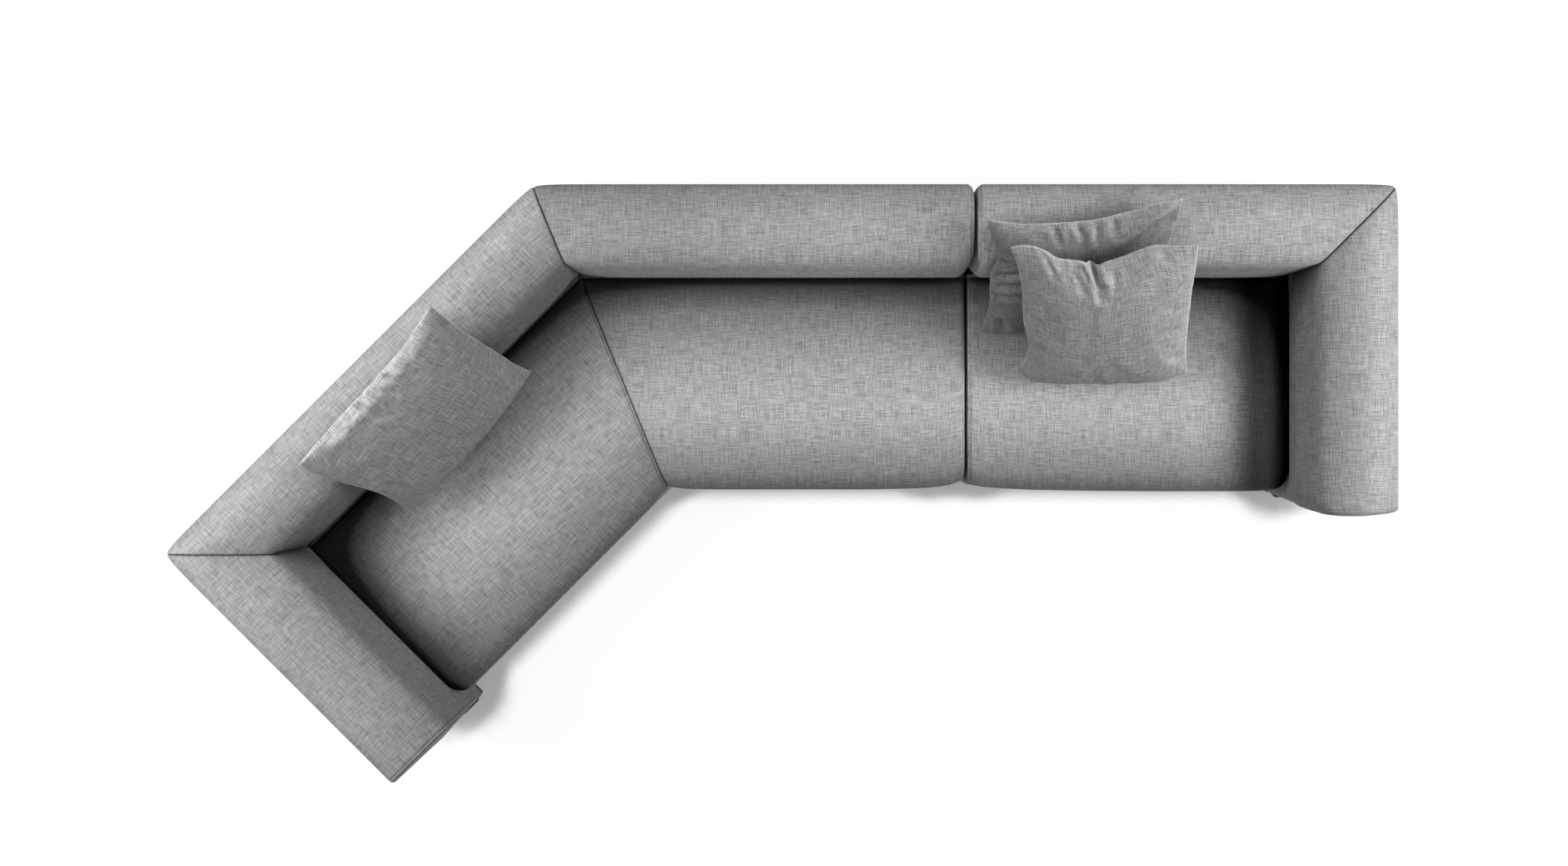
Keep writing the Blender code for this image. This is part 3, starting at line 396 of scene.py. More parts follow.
def closedMesh(name, rings, uvs, shades=None):
    # rings and uvs: [station][point]; the point loop closes on itself; shades: the painted shade that a seam leaves
    # on each station
    mesh = bmesh.new()
    layer = mesh.loops.layers.uv.new("weave")
    shadeLayer = mesh.verts.layers.float.new("seamShade")
    count = len(rings[0])
    loops = [[mesh.verts.new(point) for point in ring] for ring in rings]
    for ring, shade in zip(loops, shades or [1.0] * len(loops)):
        for vert in ring:
            vert[shadeLayer] = shade

    def addFace(verts, marks):
        for loop, mark in zip(mesh.faces.new(verts).loops, marks):
            loop[layer].uv = mark
    for s in range(len(rings) - 1):
        for i in range(count):
            j = (i + 1) % count
            addFace((loops[s][i], loops[s][j], loops[s + 1][j], loops[s + 1][i]),
                    (uvs[s][i], uvs[s][i + 1], uvs[s + 1][i + 1], uvs[s + 1][i]))
    for end in (0, -1):
        addFace(loops[end], uvs[end])
    bmesh.ops.remove_doubles(mesh, verts=mesh.verts, dist=1e-5)
    bmesh.ops.recalc_face_normals(mesh, faces=mesh.faces)
    made = bpy.data.meshes.new(name)
    mesh.to_mesh(made)
    mesh.free()
    made.shade_smooth()
    return made


def addDome(run, rings, uvs, shades, end, bulge):
    # Closes a free end with a panel that crowns outwards
    source = rings[0 if end == 0 else -1]

    def depth(point):
        return (point.to_2d() - run["start"]).dot(run["inward"])
    depths, heights = [depth(p) for p in source], [p.z for p in source]
    uEnd = (source[0].to_2d() - run["start"]).dot(run["along"])
    centre = runPoint(run, uEnd, (min(depths) + max(depths)) / 2, (min(heights) + max(heights)) / 2)
    outward = Vector((*run["along"], 0)) * (-1 if end == 0 else 1)
    newRings, newMarks = [], []
    for share in loft["domeShares"]:
        crown = outward * (bulge * (1 - (1 - share) ** loft["domeRound"]))
        ring = [p.lerp(centre, share) + crown for p in source]
        marks = [(depth(p), p.z) for p in ring]
        newRings.append(ring)
        newMarks.append(marks + marks[:1])
    if end == 0:
        rings[:0], uvs[:0], shades[:0] = newRings[::-1], newMarks[::-1], [1.0] * len(newRings)
    else:
        rings += newRings
        uvs += newMarks
        shades += [1.0] * len(newRings)


def placeObject(name, mesh, material, body, nodes=()):
    made = bpy.data.objects.new(name, mesh)
    bpy.context.scene.collection.objects.link(made)
    if not mesh.materials:
        mesh.materials.append(material)
    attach(made, body)
    if nodes:
        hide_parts(*nodes)
    return made


def finishLoft(name, run, kinds, loftParts, bulge, body, node):
    # Free ends get their panels, then the rings become one padded cover
    rings, uvs, shades = loftParts
    for end in (0, 1):
        if kinds[end] == "free":
            addDome(run, rings, uvs, shades, end, bulge)
    return placeObject(name, closedMesh(name, rings, uvs, shades), greyLinen, body, (node,))


# Backs and arms

back = {
    "thickness": 0.25,
    "top": 0.700,
    "seamDip": 0.009,
    "outerDrop": 0.070,  # the top domes down over this height to the outer face
    "innerDrop": 0.085,
    "seamInnerDrop": 0.045,
    "outerFullness": 2.9,  # 2 is an ellipse, higher is squarer
    "innerFullness": 3.4,
    "seamFullness": 5.5,
    "faceBulge": 0.022,
    # how the inner face's bulge is shared out from its top to the seat
    "faceCurve": ((0.0, 0.60), (0.2, 0.86), (0.45, 1.0), (0.7, 0.98), (0.86, 0.78), (0.95, 0.42), (1.0, 0.0)),
    "outerBulge": 0.004,
    "outerRound": 0.8,
    "outerDraw": 0.006,
    "underside": 0.1218,
    "seatLevel": 0.4253,
    "footTaper": 0.3,
    "deckCut": 0.2396,
    "cavity": (0.012, 0.185, 0.641),  # outer face, inner face, roof
    "grooveDepth": 0.0055,
    "grooveWidth": 0.0030,
    "grooveShares": (0.4, 0.5, 1.0),  # how deep it lies at the outer side, the inner side and the top
    # painted shade along the mitre seam
    "mitreSeamShade": ((0.0, 0.35, 0.0026),),
    "panelLineWidth": 0.0018,
    "steps": (19, 16, 16, 18, 14),  # up the outer face, over its dome, over the inner dome, down, along the foot
    "stitched": slice(2, 72),  # their points from the outer foot over the top to the inner side above the seat
}


def domeShare(t, fullness):
    # A quarter of a squared ellipse from its side, t 0, to its crest, t 1: (share of the way in, height)
    angle = math.pi / 2 * t
    return 1 - math.cos(angle) ** (2 / fullness), math.sin(angle) ** (2 / fullness)


def backRing(full, insets, deckCut, hollow, reach=0.0):
    # Outline across the run from the outer foot over the top to the inner foot, then back through the cavity
    insetOut, insetIn, insetTop = insets
    low, deck, seat = back["underside"], back["deckCut"], back["seatLevel"]
    outer = back["outerDraw"] * (1 - full) + insetOut
    inner = back["thickness"] + reach - insetIn
    top = back["top"] - back["seamDip"] * (1 - full) - insetTop
    bulge = back["faceBulge"] * full
    shoulder = inner + bulge * back["faceCurve"][0][1]
    middle = (outer + shoulder) / 2
    dropOut = back["outerDrop"]
    dropIn = mixValue(back["seamInnerDrop"], back["innerDrop"], full)
    fullness = mixValue(back["seamFullness"], back["innerFullness"], full)
    upSteps, outSteps, inSteps, downSteps, footSteps = back["steps"]
    points = []
    for k in range(upSteps + 1):
        t = k / upSteps
        points.append((outer - back["outerBulge"] * full * math.sin(math.pi * t) ** back["outerRound"],
                       mixValue(low, top - dropOut, t)))
    for k in range(1, outSteps + 1):
        across, high = domeShare(k / outSteps, back["outerFullness"])
        points.append((middle - (middle - outer) * (1 - across), top - dropOut * (1 - high)))
    for k in range(1, inSteps + 1):
        across, high = domeShare(1 - k / inSteps, fullness)
        points.append((middle + (shoulder - middle) * (1 - across), top - dropIn * (1 - high)))
    for k in range(1, downSteps + 1):
        t = k / downSteps
        points.append((inner + bulge * float(np.interp(t, *zip(*back["faceCurve"]))),
                       mixValue(top - dropIn, seat, t)))
    for k in range(1, footSteps + 1):
        z = mixValue(seat, low, k / footSteps)
        points.append((inner - insetIn * back["footTaper"] * k / footSteps, max(z, deck) if deckCut else z))
    cavityOut, cavityIn, roof = back["cavity"][0] + reach, back["cavity"][1] + reach, back["cavity"][2]
    if hollow:
        walls = [(cavityIn, deck if deckCut else low), (cavityIn, deck), (cavityIn, roof), (cavityOut, roof)]
    else:
        walls = [(cavityIn, low)] * 3 + [(cavityOut, low)]
    return points + walls + [(cavityOut, low)]


sewnRings = {}  # where the top stitching runs, by the name of its piece


def upholsteredRun(name, key, kinds, body, node, settings):
    # kinds: how each end is closed, by a seam or by a free panel; settings: the panel's rounding and seams
    run, reach = coverRuns[key], coverReach[key]
    rounds = roundLengths(backRing(1.0, (0, 0, 0), False, True, reach))
    rows = []
    for end, away in stationList(run["length"], kinds, max(settings["radii"])):
        if end == "mid":
            rows.append((end, away, 1.0, (0, 0, 0), True, True))
        elif kinds[end] == "seam":
            groove = math.exp(-(away / back["grooveWidth"]) ** 2) * back["grooveDepth"]
            rows.append((end, away, blendIn(away), [groove * share for share in back["grooveShares"]], True, True))
        else:
            line = sum(math.exp(-((away - place) / back["panelLineWidth"]) ** 2) * depth
                       for place, depth in settings["panelSeams"])
            insets = [roundInset(away, radius) + line for radius in settings["radii"]]
            rows.append((end, away, 1.0, insets, away > settings["deckStart"], away > settings["closed"]))
    doubled = rows[:1]
    for row, following in zip(rows, rows[1:]):
        if row[4:] != following[4:]:
            # the cavity or the deck cut starts here: an upright wall, at whichever of the two is nearer the end
            doubled.append(row[:4] + following[4:] if row[0] == 0 else following[:4] + row[4:])
        doubled.append(following)
    rings, uvs, shades = [], [], []
    for end, away, full, insets, deckCut, hollow in doubled:
        # painted shade of the seam or of the panel's seams at this station
        sewn = () if end == "mid" else back["mitreSeamShade"] if kinds[end] == "seam" else settings["panelSeamShade"]
        shades.append(paintedSeamShade(away, sewn))
        ring, marks = [], []
        for (v, z), mark in zip(backRing(full, insets, deckCut, hollow, reach), rounds):
            u = placeAlong(end, away, v, run["length"], run["slopes"], (plan["seamGap"], plan["seamGap"]))
            if "armEnd" in settings:
                u, v = shapeArmFoot(u, v, z, run["length"], settings)
            ring.append(runPoint(run, u, v, z))
            marks.append((u, mark))
        if (end, away) == (settings.get("armEnd"), loft["stitchLine"]):
            sewnRings[name] = ring[back["stitched"]]
        rings.append(ring)
        uvs.append(marks + [(marks[0][0], rounds[-1])])
    return finishLoft(name, run, kinds, (rings, uvs, shades), settings["bulge"], body, node)


# Arm fronts: plan rounding of the outer side, the inner side and the top edge; the front leans back to its foot
armFronts = {
    "left": {"armEnd": 0, "radii": (0.012, 0.014, 0.010), "bulge": 0.002, "footPull": 0.022, "narrow": 0.024,
             "closed": 0.030, "deckStart": 0.087,
             "panelSeams": ((0.004, 0.0014), (0.015, 0.0016)),
             # painted shade along the panel's seams
             "panelSeamShade": ((0.004, 0.40, 0.0017), (0.015, 0.45, 0.0017)),
             "bow": ((0, 0.0), (0.25, 0.0))},
    "right": {"armEnd": 1, "radii": (0.013, 0.040, 0.015), "bulge": 0.003, "footPull": 0.036, "narrow": 0.022,
              "closed": 0.030, "deckStart": 0.087,
              "panelSeams": ((0.004, 0.0004), (0.015, 0.0005)),
              # painted shade along the panel's seams
              "panelSeamShade": ((0.004, 0.85, 0.0017), (0.015, 0.88, 0.0017)),
              "bow": ((0, 0.002), (0.014, 0.003), (0.05, 0.007), (0.081, 0.010), (0.12, 0.0135), (0.156, 0.0145),
                      (0.20, 0.014), (0.239, 0.0105), (0.26, 0.007))},
    "leanFrom": 0.64,  # height at which the front starts to lean back
    "leanTo": 0.13,
    "leanReach": 0.12,
    "outerLean": 0.6,  # the outer side leans less, which keeps the boards covered
    "leanAcross": (0.03, 0.15),  # from the outer side's lean to the full one
    "narrowReach": 0.050,  # the foot's inner side is drawn in over this length
    "narrowFade": 0.03,
    "narrowAcross": (0.15, 0.23),  # none at the first depth, all of it from the second
}


def clampShare(value):
    return max(0.0, min(1.0, value))


def shapeArmFoot(u, v, z, length, settings):
    armEnd = settings["armEnd"]
    low = clampShare((armFronts["leanFrom"] - z) / (armFronts["leanFrom"] - armFronts["leanTo"]))
    away = max(0.0, u if armEnd == 0 else length - u)
    near = max(0.0, 1 - away / armFronts["leanReach"]) ** 2
    lean = settings["footPull"] * low * float(np.interp(v, armFronts["leanAcross"], (armFronts["outerLean"], 1.0)))
    pull = (lean - float(np.interp(v, *zip(*settings["bow"])))) * near
    inner = float(np.interp(v, armFronts["narrowAcross"], (0, 1)))
    drawn = clampShare((armFronts["narrowReach"] + armFronts["narrowFade"] - away) / armFronts["narrowFade"])
    narrow = settings["narrow"] * low * low * inner * drawn * drawn * (3 - 2 * drawn)
    return (u + pull if armEnd == 0 else u - pull), v - narrow


# panel rounding, seams and the painted shade along them
gapEnd = {"radii": (0.022, 0.046, 0.018), "panelSeams": ((0.010, 0.0016),), "panelSeamShade": ((0.010, 0.62, 0.0016),),
          "closed": 0.024, "deckStart": 0.012, "bulge": 0.003}
covers = {
    "leftArm": upholsteredRun("leftArmCover", "leftArm", ("free", "seam"), "left_module", "left_arm_upholstery",
                              armFronts["left"]),
    "wing": upholsteredRun("wingBackCover", "wing", ("seam", "seam"), "left_module", "wing_back_upholstery", gapEnd),
    "middle": upholsteredRun("middleBackCover", "middle", ("seam", "free"), "left_module", "middle_back_upholstery",
                             gapEnd),
    "right": upholsteredRun("rightBackCover", "right", ("free", "seam"), "right_module", "right_back_upholstery",
                            gapEnd),
    "rightArm": upholsteredRun("rightArmCover", "rightArm", ("seam", "free"), "right_module", "right_arm_upholstery",
                               armFronts["right"]),
}
print("backs and arms made")

# Seat pads

pad = {
    "rear": 0.2503,
    "front": 0.972,
    "top": 0.409,
    "crown": 0.016,
    "crownRound": 4,
    "seamSink": 0.35,  # share of the crown that the top loses at a seam
    "noseReach": 0.062,  # the top rolls down over this depth
    "noseDrop": 0.055,
    "noseBulge": 0.012,
    "noseTuck": 0.024,  # how far the foot of the nose lies back
    "tuckRound": 1.6,
    "bottom": 0.2396,
    "seam": (0.0, 0.0045, 0.0030),  # a sewn line: distance from the end, depth, half width
    "topStitch": (0.0095, 0.0030, 0.0022),
    "edgeWelt": (0.0095, 0.0016, 0.0020),
    "lineInFront": 0.5,  # share of a line's depth that shows on the front
    # painted shade in the sewn lines: the share of the colour left in a seam and in a stitch line, and their width
    # against the sunk line's
    "seamLight": 0.42,
    "stitchLight": 0.62,
    "lightWidth": 0.75,
    "topRound": {"arm": 0.016, "free": 0.020},
    "topRoundShare": 0.8,
    "armRound": 0.034,
    "armBlend": 0.03,
    "panelBulge": 0.002,
    "weaveShift": 3.1,  # so that its weave isn't the back's again
    "steps": (6, 42, 18, 8, 8),  # up the rear, along the top, round the nose, down the front, under the pad
    "stitched": slice(7, 74),  # their points from the back over the top to the front
    # how far the front edge stands back, by distance from an open end, and from an arm: measured from the photograph
    "openFront": {
        "middle": ((0, 0.036), (0.004, 0.031), (0.015, 0.0265), (0.037, 0.018), (0.047, 0.015), (0.078, 0.010),
                   (0.12, 0.0055), (0.18, 0.003), (0.30, 0)),
        "right": ((0, 0.032), (0.004, 0.027), (0.010, 0.024), (0.022, 0.020), (0.043, 0.0165), (0.064, 0.014),
                  (0.116, 0.010), (0.168, 0.0075), (0.220, 0.005), (0.325, 0.003), (0.430, 0.0015), (0.6, 0)),
    },
    "armFront": {"right": ((0, 0.006), (0.03, 0.004), (0.07, 0.0015), (0.15, 0))},
    "reachOut": {"wing": 0.0, "middle": 0.0, "right": 0.006},
}


def padRing(full, insetFront, insetTop):
    rear, bottom, crown = pad["rear"], pad["bottom"], pad["crown"]
    front = pad["front"] - pad["noseBulge"] * (1 - full) - insetFront
    top = pad["top"] - crown * pad["seamSink"] * (1 - full) - insetTop
    reach, drop = pad["noseReach"], pad["noseDrop"]
    rearSteps, topSteps, noseSteps, frontSteps, underSteps = pad["steps"]
    points = [(rear, mixValue(bottom, top, k / rearSteps)) for k in range(rearSteps + 1)]
    for k in range(1, topSteps):
        s = k / topSteps
        points.append((mixValue(rear, front - reach, s), top + crown * (1 - (1 - s) ** pad["crownRound"])))
    shoulder = top + crown - drop
    for k in range(noseSteps + 1):
        angle = math.pi / 2 * k / noseSteps
        points.append((front - reach + reach * math.sin(angle), shoulder + drop * math.cos(angle)))
    for k in range(1, frontSteps + 1):
        t = k / frontSteps
        points.append((front - pad["noseTuck"] * t ** pad["tuckRound"], mixValue(shoulder, bottom, t)))
    return points + [(mixValue(front, rear, k / underSteps), bottom) for k in range(1, underSteps)]


def seatPad(name, key, slopes, kinds, offsets, body, node, seams):
    # kinds: what each end meets, a seam, an arm or the gap; offsets: how far it stands back from its run's ends
    run, length = runs[key], runs[key]["length"]
    rounds = roundLengths(padRing(1.0, 0, 0))
    frontLength = length - sum(offsets) - pad["front"] * sum(slopes)
    rings, uvs, shades = [], [], []
    for end, away in stationList(length, ("seam", "seam")):
        full, insetFront, insetTop = 1.0, -pad["reachOut"][key], 0.0
        place = mixValue(loft["endZone"], frontLength - loft["endZone"], away) if end == "mid" else away
        for side, kind in enumerate(kinds):
            table = pad["openFront" if kind == "free" else "armFront"].get(key)
            if kind != "seam" and table:
                far = place if end == side or (end == "mid" and side == 0) else frontLength - place
                insetFront += float(np.interp(far, *zip(*table)))
        lines = () if end == "mid" else seams[end]
        if end != "mid" and kinds[end] == "seam":
            full = blendIn(away)
        elif end != "mid":
            insetTop = roundInset(away, pad["topRound"][kinds[end]]) * pad["topRoundShare"]
            if kinds[end] == "arm":
                full = blendIn(away, pad["armBlend"])
                insetFront += roundInset(away, pad["armRound"])
        for line, depth, width in lines:
            sunk = math.exp(-((away - line) / width) ** 2) * depth
            insetTop += sunk
            insetFront += sunk * pad["lineInFront"]
        # painted shade of this station's sewn lines
        shades.append(paintedSeamShade(away, [(line, pad["seamLight"] if line == 0 else pad["stitchLight"],
                                       width * pad["lightWidth"]) for line, depth, width in lines]))
        ring, marks = [], []
        for (v, z), mark in zip(padRing(full, insetFront, insetTop), rounds):
            u = placeAlong(end, away, v, length, slopes, offsets)
            ring.append(runPoint(run, u, v, z))
            marks.append((u + pad["weaveShift"], mark))
        if (end, away) == (1, loft["stitchLine"]):
            sewnRings[name] = ring[pad["stitched"]]
        rings.append(ring)
        uvs.append(marks + [(marks[0][0], rounds[-1])])
    return finishLoft(name, run, kinds, (rings, uvs, shades), pad["panelBulge"], body, node)


armSide = pad["rear"]
seats = {
    "wing": seatPad("wingSeatPad", "wing", (0, bendSlope), ("arm", "seam"), (armSide, plan["seamGap"]), "left_module",
                    "wing_seat_pad", ((), (pad["seam"], pad["topStitch"]))),
    "middle": seatPad("middleSeatPad", "middle", (bendSlope, 0), ("seam", "free"), (plan["seamGap"], 0),
                      "left_module", "middle_seat_pad", ((pad["seam"],), ())),
    "right": seatPad("rightSeatPad", "right", (0, 0), ("free", "arm"), (0, armSide), "right_module",
                     "right_seat_pad", ((pad["edgeWelt"],), ())),
}
print("seat pads made")

# Front borders

border = {
    "face": 0.960,  # from the outer line of the backs
    "thickness": 0.012,
    "bulge": 0.003,
    "round": 0.030,  # at the gap's corners
    "low": 0.1218,
    "high": 0.2393,
    "upSteps": 8,
    "lineSteps": 40,
    "sideSteps": 24,
    "cornerSteps": 12,
}


def borderMesh(name, paths, body, node):
    # paths: lines and corners one after the other, as plan points on the outer face and unit vectors into the sofa
    low, high, steps = border["low"], border["high"], border["upSteps"]
    profile = [(-border["bulge"] * math.sin(math.pi * k / steps), mixValue(low, high, k / steps))
               for k in range(steps + 1)] + [(border["thickness"], high), (border["thickness"], low)]
    rounds = roundLengths(profile)
    line = list(zip(*paths[0])) + [pair for path in paths[1:] for pair in list(zip(*path))[1:]]
    rings, uvs, travelled, last = [], [], 0.0, line[0][0]
    for point, way in line:
        travelled += (point - last).length
        last = point
        rings.append([Vector((*(point + way * d), z)) for d, z in profile])
        uvs.append([(travelled, r) for r in rounds])
    return placeObject(name, closedMesh(name, rings, uvs), greyLinen, body, (node,))


def linePath(run, start, stop, outward, steps):
    # Between two (u, v) places of a run
    points = [run["start"] + run["along"] * mixValue(start[0], stop[0], k / steps)
              + run["inward"] * mixValue(start[1], stop[1], k / steps) for k in range(steps + 1)]
    return points, [-outward] * (steps + 1)


def frontPath(run, uLow, uHigh):
    return linePath(run, (uLow, border["face"]), (uHigh, border["face"]), run["inward"], border["lineSteps"])


def sidePath(run, u, vLow, vHigh, outward):
    return linePath(run, (u, vLow), (u, vHigh), outward, border["sideSteps"])


def cornerPath(run, u, v, startAngle, endAngle):
    points, ways = [], []
    for k in range(border["cornerSteps"] + 1):
        angle = math.radians(mixValue(startAngle, endAngle, k / border["cornerSteps"]))
        way = run["along"] * math.cos(angle) + run["inward"] * math.sin(angle)
        points.append(run["start"] + run["along"] * u + run["inward"] * v + way * border["round"])
        ways.append(-way)
    return points, ways


wing, middle, right = runs["wing"], runs["middle"], runs["right"]
bendPlace = plan["seamGap"] + border["face"] * bendSlope
cornerV = border["face"] - border["round"]
borders = [
    borderMesh("wingFrontBorder", [frontPath(wing, armSide, wing["length"] - bendPlace)], "left_module",
               "wing_front_border"),
    borderMesh("middleBorder", [frontPath(middle, bendPlace, middle["length"] - border["round"]),
                                cornerPath(middle, middle["length"] - border["round"], cornerV, 90, 0),
                                sidePath(middle, middle["length"], cornerV, pad["rear"], middle["along"])],
               "left_module", "middle_border"),
    borderMesh("rightBorder", [sidePath(right, 0, pad["rear"], cornerV, -right["along"]),
                               cornerPath(right, border["round"], cornerV, 180, 90),
                               frontPath(right, border["round"], right["length"] - armSide)],
               "right_module", "right_border"),
]
print("front borders made")

# Scatter cushions: two panels sewn at their edges, blown up as cloth, then laid over seat and back

cushions = {
    # corners as (u, v, z) on the run: foot and head at its low end, foot and head at its high end
    # bend: how far the middle is pushed out from them; half: half of the thickness
    # level and light: each cushion's overall painted shade, and the way from which a painted light makes the faces
    # turned to it paler
    "wing": {
        "run": "wing", "half": 0.062, "size": (0.62, 0.50), "bend": (0.045, 0.065),
        "corners": ((0.597, 0.430, 0.460), (0.552, 0.150, 0.785), (1.217, 0.395, 0.460), (1.177, 0.110, 0.805)),
        "supports": ("wingSeatPad", "wingBackCover"),
        "foldGain": 0.9, "level": 0.62, "lightFrom": (-0.60, 0.75, 0.25), "lightGain": 2.3, "lightRange": (0.0, 0.42),
    },
    "rear": {
        "run": "right", "half": 0.047, "size": (0.62, 0.50), "bend": (0.020, 0.080),
        "corners": ((0.021, 0.445, 0.460), (0.006, 0.140, 0.785), (0.626, 0.425, 0.460), (0.596, 0.075, 0.795)),
        "supports": ("rightSeatPad", "rightBackCover"),
        "foldGain": 2.1, "level": 0.74, "lightFrom": (0.50, 0.60, 0.0), "lightGain": 1.3, "lightRange": (-0.5, 0.5),
    },
    "front": {
        "run": "right", "half": 0.062, "size": (0.555, 0.52), "bend": (0.010, 0.030),
        "corners": ((0.141, 0.582, 0.470), (0.061, 0.228, 0.845), (0.696, 0.582, 0.470), (0.616, 0.228, 0.845)),
        "supports": ("rightSeatPad", "rearScatterCushion"),
        "foldGain": 1.5, "level": 0.86, "lightFrom": (0.70, 0.30, 0.0), "lightGain": 1.0, "lightRange": (-0.35, 0.5),
    },
}
pillowCloth = {
    "step": 0.0095,
    "startRise": 0.012,  # metres that each panel bulges before it is blown up
    "frames": 24,
    "quality": 6,
    "mass": 0.25,
    "pressure": 5.0,
    "stiffness": 12.0,
    "shear": 4.0,
    "bending": 0.25,
    "blown": 0.5,  # share of the blown-up form; the rest is a plain crowned one
    "rimPull": 0.05,  # how far the plain form's edges curve in
    "crownSquare": 2.6,
    "crownRound": 0.6,
    "quickHalf": 0.06,
}


def pillowGrid(size, step):
    # Flat two-panel bag; returns vertices, edges and faces, panels joined at the rim
    nx, ny = round(size[0] / step), round(size[1] / step)
    verts, faces, where = [], [], {}

    def spot(i, j, side):
        return i, j, 0 if i in (0, nx) or j in (0, ny) else side
    for side in (1, -1):
        for i in range(nx + 1):
            for j in range(ny + 1):
                key = spot(i, j, side)
                if key not in where:
                    a, b = 2 * i / nx - 1, 2 * j / ny - 1
                    where[key] = len(verts)
                    verts.append((a * size[0] / 2, b * size[1] / 2,
                                  key[2] * pillowCloth["startRise"] * (1 - a * a) * (1 - b * b)))
    for side in (1, -1):
        for i in range(nx):
            for j in range(ny):
                quad = [where[spot(*place, side)] for place in ((i, j), (i + 1, j), (i + 1, j + 1), (i, j + 1))]
                faces.append(quad[::side])
    return verts, [], faces


def addCloth(bag):
    cloth = bag.modifiers.new("cloth", "CLOTH")
    settings = cloth.settings
    settings.quality = pillowCloth["quality"]
    settings.mass = pillowCloth["mass"]
    settings.tension_stiffness = settings.compression_stiffness = pillowCloth["stiffness"]
    settings.shear_stiffness = pillowCloth["shear"]
    settings.bending_stiffness = pillowCloth["bending"]
    settings.use_pressure = True
    settings.uniform_pressure_force = pillowCloth["pressure"]
    settings.effector_weights.gravity = 0
    cloth.collision_settings.use_collision = False
    cloth.collision_settings.use_self_collision = False
    cloth.point_cache.frame_start, cloth.point_cache.frame_end = 1, pillowCloth["frames"]


def pointsOf(obj):
    return np.array([tuple(vertex.co) for vertex in obj.data.vertices])


def normalsOf(obj):
    return np.array([tuple(vertex.normal) for vertex in obj.data.vertices])


def halfThickness(points):
    return np.percentile(np.abs(points[:, 2]), 99.5)


def inflatePillows():
    bags, made = {}, {}
    for key, item in cushions.items():
        mesh = bpy.data.meshes.new(key + "Bag")
        mesh.from_pydata(*pillowGrid(item["size"], pillowCloth["step"]))
        bags[key] = bpy.data.objects.new(key + "Bag", mesh)
        bpy.context.scene.collection.objects.link(bags[key])
        addCloth(bags[key])
    for step in range(pillowCloth["frames"]):
        bpy.context.scene.frame_set(step + 1)
    graph = bpy.context.evaluated_depsgraph_get()
    for key, bag in bags.items():
        flat, blown = pointsOf(bag), pointsOf(bag.evaluated_get(graph))
        a = flat[:, 0] / abs(flat[:, 0]).max()
        b = flat[:, 1] / abs(flat[:, 1]).max()
        square, pull = pillowCloth["crownSquare"], pillowCloth["rimPull"]
        crown = np.clip((1 - abs(a) ** square) * (1 - abs(b) ** square), 0, 1) ** pillowCloth["crownRound"]
        half = halfThickness(blown)
        plain = np.column_stack((flat[:, 0] * (1 - pull * (1 - b ** 2)), flat[:, 1] * (1 - pull * (1 - a ** 2)),
                                 np.sign(flat[:, 2]) * crown * half))
        points = plain + (blown - plain) * pillowCloth["blown"]
        made[key] = (flat, points, [tuple(face.vertices) for face in bag.data.polygons])
        mesh = bag.data
        bpy.data.objects.remove(bag)
        bpy.data.meshes.remove(mesh)
    bpy.context.scene.frame_set(1)
    return made


shapes = inflatePillows()
print("pillows blown up by the cloth solver")


def cushionSurface(item):
    lowFoot, lowHead, highFoot, highHead = (Vector(c) for c in item["corners"])
    push = Vector((0, *item["bend"]))

    def side(foot, head, share):
        return foot * (1 - share) ** 2 + ((foot + head) / 2 + push) * (2 * share * (1 - share)) + head * share ** 2

    def at(a, b):
        share = (b + 1) / 2
        return side(lowFoot, lowHead, share).lerp(side(highFoot, highHead, share), (a + 1) / 2)
    return at


def boundTree(obj):
    obj.data.calc_loop_triangles()
    return BVHTree.FromPolygons([v.co.copy() for v in obj.data.vertices],
                                [tuple(t.vertices) for t in obj.data.loop_triangles])


